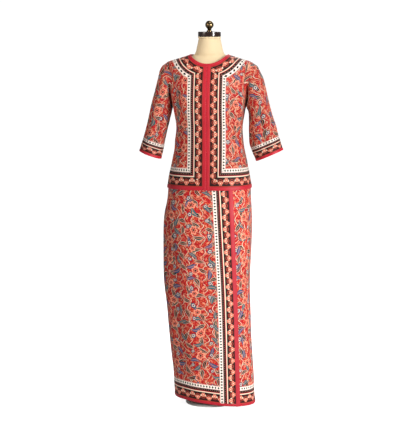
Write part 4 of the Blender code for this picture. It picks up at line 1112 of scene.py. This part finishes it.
for name, about in skirtPanels.items():
    turn, z = skirtGrid(about["turnAt"], about["columns"], skirt["rows"])
    inset = insetOf(name, turn, z)
    outer = liftedPoint(skirt, turn, z, -inset)
    inner = liftedPoint(skirt, turn, z, -inset - skirt["wall"])
    width, far = runs(outer, 1), np.ones_like(z)
    marks = {"edge1": far, "run1": z, "edge2": far, "run2": 0 * far, "edge3": z - z[:1]}
    if name == "sarongOuterLap":
        width = width - width[:, -1:]
        marks["edge1"] = -width
    marks["run3"] = width
    uv = np.stack((width + about["offset"], outer[..., 2]), axis=-1)
    place(gridObject(name, outer, inner, uv, marks), "print_cloth", finishes["print skirt"], about["node"])
    cuts[name] = cutOf(outer)

for name, (node, panel, start, end, columns) in hemBands.items():
    turnAt = skirtPanels[panel]["turnAt"]
    share = np.linspace(start, end, columns)[None]
    z = skirtHemZ(turnAt(share, np.full_like(share, skirt["hemZ"]))) + skirt["hemBand"] * across[:, None]
    turn = turnAt(share + 0 * z, z)
    makeBinding(name, node, skirt, turn, z, 0, insetOf(panel, turn, z))

share, rise = np.meshgrid(across, np.linspace(0, 1, skirt["lapBandRows"]))
lapFoot = skirtHemZ(lapTurn(np.array(skirt["hemZ"])))
lapZ = lapFoot + (skirt["topZ"] - lapFoot) * rise
lapFrom = lapTurn(lapZ, skirt["lapBand"])
lapBandTurn = lapFrom + (lapTurn(lapZ) - lapFrom) * share
makeBinding("sarongLapBand", "sarong_lap_band", skirt, lapBandTurn, lapZ, 1)

waistZ = np.linspace(skirt["topZ"] + gap, skirt["waistbandTopZ"], skirt["waistbandRows"])
turn, z = np.meshgrid(np.linspace(0, tau, skirt["waistbandColumns"], endpoint=False), waistZ)
outer = liftedPoint(skirt, turn, z, 0 * z)
inner = liftedPoint(skirt, turn, z, 0 * z - skirt["waistbandWall"])
waistRun = np.linspace(0, skirt["waistbandPrint"], skirt["waistbandColumns"] + 1)
sarongWaistband = gridObject(
    "sarongWaistband", outer, inner, np.stack(np.meshgrid(waistRun, waistZ), axis=-1),
    {f"edge{k}": np.ones_like(z) for k in (1, 2, 3)}, around=True)
place(sarongWaistband, "print_cloth", finishes["print skirt"], "sarong_waistband")
cuts["sarongWaistband"] = cutOf(outer, True)
print("sarong made")


# stitches

def makeStitchTree():
    tree = bpy.data.node_groups.new("stitches", "GeometryNodeTree")
    face = tree.interface
    ids = {}
    face.new_socket("Geometry", in_out="INPUT", socket_type="NodeSocketGeometry")
    for key, kind in (("Spacing", "Float"), ("Length", "Float"), ("Width", "Float"), ("Seed", "Int"),
                      ("Finish", "Material")):
        ids[key] = face.new_socket(key, in_out="INPUT", socket_type=f"NodeSocket{kind}").identifier
    face.new_socket("Geometry", in_out="OUTPUT", socket_type="NodeSocketGeometry")
    node, link = tree.nodes.new, tree.links.new
    start, end = node("NodeGroupInput"), node("NodeGroupOutput")
    curve = node("GeometryNodeMeshToCurve")
    spots = node("GeometryNodeCurveToPoints")
    spots.mode = "LENGTH"
    grain = node("GeometryNodeMeshUVSphere")
    grain.inputs["Segments"].default_value = 6
    grain.inputs["Rings"].default_value = 4
    grain.inputs["Radius"].default_value = 0.5
    aim = node("FunctionNodeAlignRotationToVector")
    aim.axis = "X"
    size = node("ShaderNodeCombineXYZ")
    chance = node("FunctionNodeRandomValue")
    chance.data_type = "FLOAT"
    chance.inputs[2].default_value = 0.85
    chance.inputs[3].default_value = 1.1
    vary = node("ShaderNodeVectorMath")
    vary.operation = "SCALE"
    stamp = node("GeometryNodeInstanceOnPoints")
    real = node("GeometryNodeRealizeInstances")
    finish = node("GeometryNodeSetMaterial")
    link(start.outputs["Geometry"], curve.inputs[0])
    link(curve.outputs[0], spots.inputs["Curve"])
    link(start.outputs["Spacing"], spots.inputs["Length"])
    link(spots.outputs["Tangent"], aim.inputs["Vector"])
    link(start.outputs["Length"], size.inputs[0])
    link(start.outputs["Width"], size.inputs[1])
    link(start.outputs["Width"], size.inputs[2])
    link(start.outputs["Seed"], chance.inputs["Seed"])
    link(size.outputs[0], vary.inputs[0])
    link(chance.outputs[1], vary.inputs["Scale"])
    link(spots.outputs["Points"], stamp.inputs["Points"])
    link(grain.outputs["Mesh"], stamp.inputs["Instance"])
    link(aim.outputs[0], stamp.inputs["Rotation"])
    link(vary.outputs[0], stamp.inputs["Scale"])
    link(stamp.outputs[0], real.inputs[0])
    link(real.outputs[0], finish.inputs["Geometry"])
    link(start.outputs["Finish"], finish.inputs["Material"])
    link(finish.outputs[0], end.inputs[0])
    return tree, ids


stitchTree, stitchInputs = makeStitchTree()
stitch = {"Spacing": 0.0034, "Length": 0.0023, "Width": 0.00055, "Seed": 4, "Finish": finishes["thread"]}
seams = {  # binding, 0 for its rows or 1 for its columns, and which of them
    "frontStitchesLeft": ("frontBandLeft", 1, (-2, 1)), "frontStitchesRight": ("frontBandRight", 1, (1, -2)),
    "neckStitches": ("neckBand", 0, (1,)), "kebayaHemStitches": ("kebayaHemBand", 0, (-2,)),
    "cuffStitchesLeft": ("cuffBandLeft", 0, (-2,)), "cuffStitchesRight": ("cuffBandRight", 0, (-2,)),
    "lapStitches": ("sarongLapBand", 1, (1,)), "hemStitchesOuter": ("sarongHemBandOuter", 0, (-2,)),
    "hemStitchesUnder": ("sarongHemBandUnder", 0, (-2,)), "hemStitchesBack": ("sarongHemBandBack", 0, (-2,)),
}


def sewAlong(name, paths):
    mesh = bpy.data.meshes.new(name)
    points, edges = [], []
    for path in paths:
        first = len(points)
        points += path.tolist()
        edges += [(first + i, first + i + 1) for i in range(len(path) - 1)]
    mesh.from_pydata(points, edges, [])
    line = putIn(name + "Line", mesh)
    sew = line.modifiers.new("stitches", "NODES")
    sew.node_group = stitchTree
    for key, value in stitch.items():
        sew[stitchInputs[key]] = value
    made = bpy.data.meshes.new_from_object(line.evaluated_get(bpy.context.evaluated_depsgraph_get()))
    line.modifiers.remove(sew)
    bpy.data.objects.remove(line)
    made.name = name
    made.shade_smooth()
    place(putIn(name, made), "crimson_band", finishes["thread"])


for name, (band, axis, lines) in seams.items():
    sewAlong(name, [np.take(bandPoints[band], line, axis=axis) for line in lines])
print("stitches made")


# sheets

sheets = {  # what each hangs on, and the pieces that go with it
    "kebayaFrontLeft": ("form_body", "frontBandLeft", "frontStitchesLeft"),
    "kebayaFrontRight": ("form_body", "frontBandRight", "frontStitchesRight"),
    "kebayaBack": ("form_body", "neckBand", "kebayaHemBand", "neckStitches", "kebayaHemStitches"),
    "sleeveLeft": ("kebayaBack", "cuffBandLeft", "cuffStitchesLeft"),
    "sleeveRight": ("kebayaBack", "cuffBandRight", "cuffStitchesRight"),
    "sarongOuterLap": ("sarongWaistband", "sarongLapBand", "sarongHemBandOuter", "lapStitches",
                       "hemStitchesOuter"),
    "sarongUnderLap": ("sarongWaistband", "sarongHemBandUnder", "hemStitchesUnder"),
    "sarongBack": ("sarongWaistband", "sarongHemBandBack", "hemStitchesBack"),
    "sarongWaistband": ("form_body",),
}
for name, (restsOn, *extras) in sheets.items():
    width, length, area = cuts[name]
    print(f"{name}: flat {width:.3f} x {length:.3f} m, area {area:.4f}")


# dress form

form = {
    "bottomZ": 0.6060, "neckTopZ": 1.3993, "neckY": -0.008, "rimRadius": 0.0430, "rimTopZ": 1.4058,
    "capRadius": 0.0428, "capBottomZ": 1.4061, "capTopZ": 1.4242, "finialTopZ": 1.4658, "ball": 0.0158,
    "footRadius": 0.0110, "footHeight": 0.003, "stemRadius": 0.0068, "stemTop": 0.006, "ballFrom": 32,
    "poleRadius": 0.0125, "flangeRadius": 0.030, "flangeHeight": 0.004, "flangeTaper": 0.012,
    "baseRadius": 0.092, "baseThickness": 0.012, "baseEdge": 0.003, "baseSlope": 0.006,
    "hubRadius": 0.0205, "hubHeight": 0.022, "hubFillet": 0.0015, "ringStep": 0.006, "columns": 96,
    "rings": (
        (0.6060, 0.1300, 0.0900, 0.0980, 2.3, 0.0), (0.6140, 0.1370, 0.0960, 0.1040, 2.3, 0.0),
        (0.6660, 0.1450, 0.1020, 0.1110, 2.3, 0.0), (0.7660, 0.1490, 0.1060, 0.1150, 2.4, 0.0),
        (0.8420, 0.1460, 0.1060, 0.1080, 2.4, 0.0), (0.8860, 0.1400, 0.1040, 0.1020, 2.4, 0.0),
        (0.9460, 0.1290, 0.0990, 0.0920, 2.4, 0.0), (1.0060, 0.1210, 0.0930, 0.0835, 2.4, 0.0),
        (1.0410, 0.1199, 0.0926, 0.0808, 2.4, 0.0), (1.0710, 0.1201, 0.0927, 0.0807, 2.4, 0.0),
        (1.1160, 0.1270, 0.1100, 0.0860, 2.4, 0.0), (1.1460, 0.1315, 0.1120, 0.0900, 2.4, 0.0),
        (1.1860, 0.1370, 0.1080, 0.0915, 2.3, 0.0), (1.2360, 0.1440, 0.0975, 0.0880, 2.2, 0.0),
        (1.2760, 0.1520, 0.0835, 0.0805, 2.05, 0.0), (1.2940, 0.1580, 0.0755, 0.0750, 1.95, 0.0),
        (1.3048, 0.1570, 0.0670, 0.0690, 1.82, 0.0), (1.3120, 0.1440, 0.0620, 0.0645, 1.72, 0.0),
        (1.3180, 0.1245, 0.0570, 0.0600, 1.68, 0.0), (1.3250, 0.1000, 0.0520, 0.0555, 1.68, 0.0),
        (1.3320, 0.0770, 0.0480, 0.0505, 1.75, 0.0), (1.3380, 0.0600, 0.0475, 0.0470, 1.90, 0.0),
        (1.3440, 0.0545, 0.0500, 0.0450, 2.0, 0.0), (1.3560, 0.0502, 0.0500, 0.0400, 2.0, 0.0),
        (1.3710, 0.0470, 0.0495, 0.0360, 2.0, 0.0), (1.3860, 0.0436, 0.0492, 0.0335, 2.0, 0.0),
        (1.3993, 0.0412, 0.0492, 0.0332, 2.0, 0.0),
    ),
    "folds": (), "creases": (), "waver": 0.0,
}


def closedObject(name, rows):  # rows of points from the bottom up; a row of one point closes an end
    shape = bmesh.new()
    rings = [[shape.verts.new(point) for point in row] for row in rows]
    for low, high in zip(rings, rings[1:]):
        count = max(len(low), len(high))
        for i in range(count):
            k = (i + 1) % count
            if len(low) == 1:
                shape.faces.new((low[0], high[k], high[i]))
            elif len(high) == 1:
                shape.faces.new((low[i], low[k], high[0]))
            else:
                shape.faces.new((low[i], low[k], high[k], high[i]))
    bmesh.ops.recalc_face_normals(shape, faces=shape.faces)
    mesh = bpy.data.meshes.new(name)
    shape.to_mesh(mesh)
    shape.free()
    mesh.shade_smooth()
    mesh.set_sharp_from_angle(angle=math.radians(50))
    return putIn(name, mesh)


def eased(profile, radius, steps=5):  # corners of a profile made round
    made = [profile[0]]
    for before, corner, after in zip(profile, profile[1:], profile[2:]):
        a, b, c = (np.array(p, float) for p in (before, corner, after))
        reach = min(radius, np.linalg.norm(a - b) * 0.45, np.linalg.norm(c - b) * 0.45)
        start = b + (a - b) / np.linalg.norm(a - b) * reach
        end = b + (c - b) / np.linalg.norm(c - b) * reach
        for t in np.linspace(0, 1, steps):
            made.append(tuple((1 - t) ** 2 * start + 2 * t * (1 - t) * b + t * t * end))
    return made + [profile[-1]]


def turnedObject(name, profile, centreY, steps=72):  # profile from the bottom up, both ends on the axis
    rows = []
    for radius, z in profile:
        if radius < 1e-6:
            rows.append([(0.0, centreY, z)])
        else:
            rows.append([(radius * math.sin(a), centreY - radius * math.cos(a), z)
                         for a in np.linspace(0, tau, steps, endpoint=False)])
    return closedObject(name, rows)


def disc(radius, low, high):
    return [(0, low), (radius, low), (radius, high), (0, high)]


formZ = []
for low, high in zip(form["rings"], form["rings"][1:]):
    steps = max(2, round((high[0] - low[0]) / form["ringStep"]))
    formZ += list(np.linspace(low[0], high[0], steps, endpoint=False))
formTurns = np.linspace(0, tau, form["columns"], endpoint=False)
formRows = [[tuple(p) for p in ringPoint(form, formTurns, z)] for z in (*formZ, form["neckTopZ"])]
formRows = [[(0.0, 0.0, form["bottomZ"])]] + formRows + [[(0.0, form["neckY"], form["neckTopZ"])]]
place(closedObject("formBody", formRows), "form_cover", finishes["linen"], "form_body")

foot, ball = form["capTopZ"] + gap, form["ball"]
stem = [(0, foot), (form["footRadius"], foot), (form["footRadius"], foot + form["footHeight"]),
        (form["stemRadius"], foot + form["stemTop"])]
globe = [(ball * math.sin(a), form["finialTopZ"] - ball - ball * math.cos(a))
         for a in np.linspace(math.radians(form["ballFrom"]), math.pi, 26)[:-1]]
hubTop, poleTop = form["baseThickness"] + form["hubHeight"], form["bottomZ"] - gap
pole = [(0, hubTop + gap), (form["poleRadius"], hubTop + gap),
        (form["poleRadius"], poleTop - form["flangeTaper"]),
        (form["flangeRadius"], poleTop - form["flangeHeight"]), (form["flangeRadius"], poleTop), (0, poleTop)]
base = [(0, 0), (form["baseRadius"], 0), (form["baseRadius"], form["baseEdge"]),
        (form["baseRadius"] - form["baseSlope"], form["baseThickness"] - form["baseEdge"]),
        (form["hubRadius"] + form["hubFillet"], form["baseThickness"] + form["hubFillet"]),
        (form["hubRadius"], hubTop), (0, hubTop)]

turned = {  # node, slot, finish, profile, middle's y
    "formNeckRim": ("form_neck_rim", "form_cover", "linen", eased(
        disc(form["rimRadius"], form["neckTopZ"] + gap, form["rimTopZ"]), 0.0022), form["neckY"]),
    "formCap": ("form_cap", "cap_lacquer", "lacquer", eased(
        disc(form["capRadius"], form["capBottomZ"], form["capTopZ"]), 0.0016, 6), form["neckY"]),
    "formFinial": ("form_finial", "finial_metal", "brass",
                   eased(stem, 0.001) + globe + [(0, form["finialTopZ"])], form["neckY"]),
    "formPole": ("form_pole", "pole_steel", "steel", eased(pole, 0.0012), 0.0),
    "formBase": ("form_base", "base_paint", "paint", eased(base, 0.0014), 0.0),
}
for name, (node, slotName, finish, profile, centreY) in turned.items():
    place(turnedObject(name, profile, centreY), slotName, finishes[finish], node)
print("dress form made")


# floor, light and camera

floorHalf, floorZ = 30, -0.0005
floorMesh = bpy.data.meshes.new("floor")
corners = [(floorHalf * x, floorHalf * y, floorZ) for x, y in ((-1, -1), (1, -1), (1, 1), (-1, 1))]
floorMesh.from_pydata(corners, [], [(0, 1, 2, 3)])
floor = putIn("floor", floorMesh)
floorMaterial, floorSketch, floorShader = startMaterial("paleFloor", 0.9)
floorShader.inputs["Base Color"].default_value = (0.93, 0.93, 0.93, 1)
floorShader.inputs["Emission Color"].default_value = (1, 1, 1, 1)
seen = floorSketch.node("ShaderNodeLightPath").outputs["Is Camera Ray"]  # glows for the eye alone
floorSketch.feed(floorShader.inputs["Emission Strength"], floorSketch.times(seen, 0.92))
floorMesh.materials.append(floorMaterial)

studio = {  # place, aim, width, height, power, colour, spread in degrees
    "keyRight": ((3.65, -3.15, 1.9), (0, 0, 0.75), 0.8, 1.9, 238, (1.0, 0.985, 0.96), 180),
    "fillLeft": ((-4.2, -2.4, 1.5), (0, 0, 0.8), 0.7, 2.8, 6, (1.0, 0.86, 0.78), 180),
    "shoulderLeft": ((-1.7, -1.5, 1.85), (-0.14, 0, 1.40), 0.4, 0.4, 0.9, (1.0, 0.90, 0.82), 34),
    "top": ((0.6, -0.6, 3.6), (0, 0, 1.0), 1.6, 1.6, 20, (1.0, 1.0, 1.0), 180),
    "behind": ((0.6, 3.2, 2.6), (0, 0, 1.0), 2.0, 2.0, 48, (1.0, 1.0, 1.0), 180),
}
for name, (where, aimAt, width, height, power, colour, spread) in studio.items():
    lamp = bpy.data.lights.new(name, "AREA")
    lamp.shape, lamp.size, lamp.size_y = "RECTANGLE", width, height
    lamp.energy, lamp.color, lamp.spread = power, colour, math.radians(spread)
    light = putIn(name, lamp)
    light.location = where
    light.rotation_euler = (Vector(aimAt) - Vector(where)).to_track_quat("-Z", "Y").to_euler()

world = bpy.data.worlds.new("studio")
bpy.context.scene.world = world
world.use_nodes = True
sky = Sketch(world.node_tree)
backdrop = world.node_tree.nodes["Background"]
backdrop.inputs["Color"].default_value = (1, 1, 1, 1)
seen = sky.node("ShaderNodeLightPath").outputs["Is Camera Ray"]  # white behind, softer as a light
sky.feed(backdrop.inputs["Strength"], sky.plus(sky.times(seen, 0.86), 0.18))
bpy.context.scene.view_settings.view_transform = "Standard"

view = {
    "distance": 5.5, "height": 1.486, "turn": 7.0, "tilt": 7.67, "aside": -0.0195, "lens": 124.12, "film": 36,
}
turn = math.radians(view["turn"])
lens = bpy.data.cameras.new("camera")
lens.lens, lens.sensor_width = view["lens"], view["film"]
camera = putIn("camera", lens)
camera.location = (math.sin(turn) * view["distance"] + math.cos(turn) * view["aside"],
                   -math.cos(turn) * view["distance"] + math.sin(turn) * view["aside"], view["height"])
camera.rotation_euler = (math.radians(90 - view["tilt"]), 0, turn)
bpy.context.scene.camera = camera

print("scene ready")
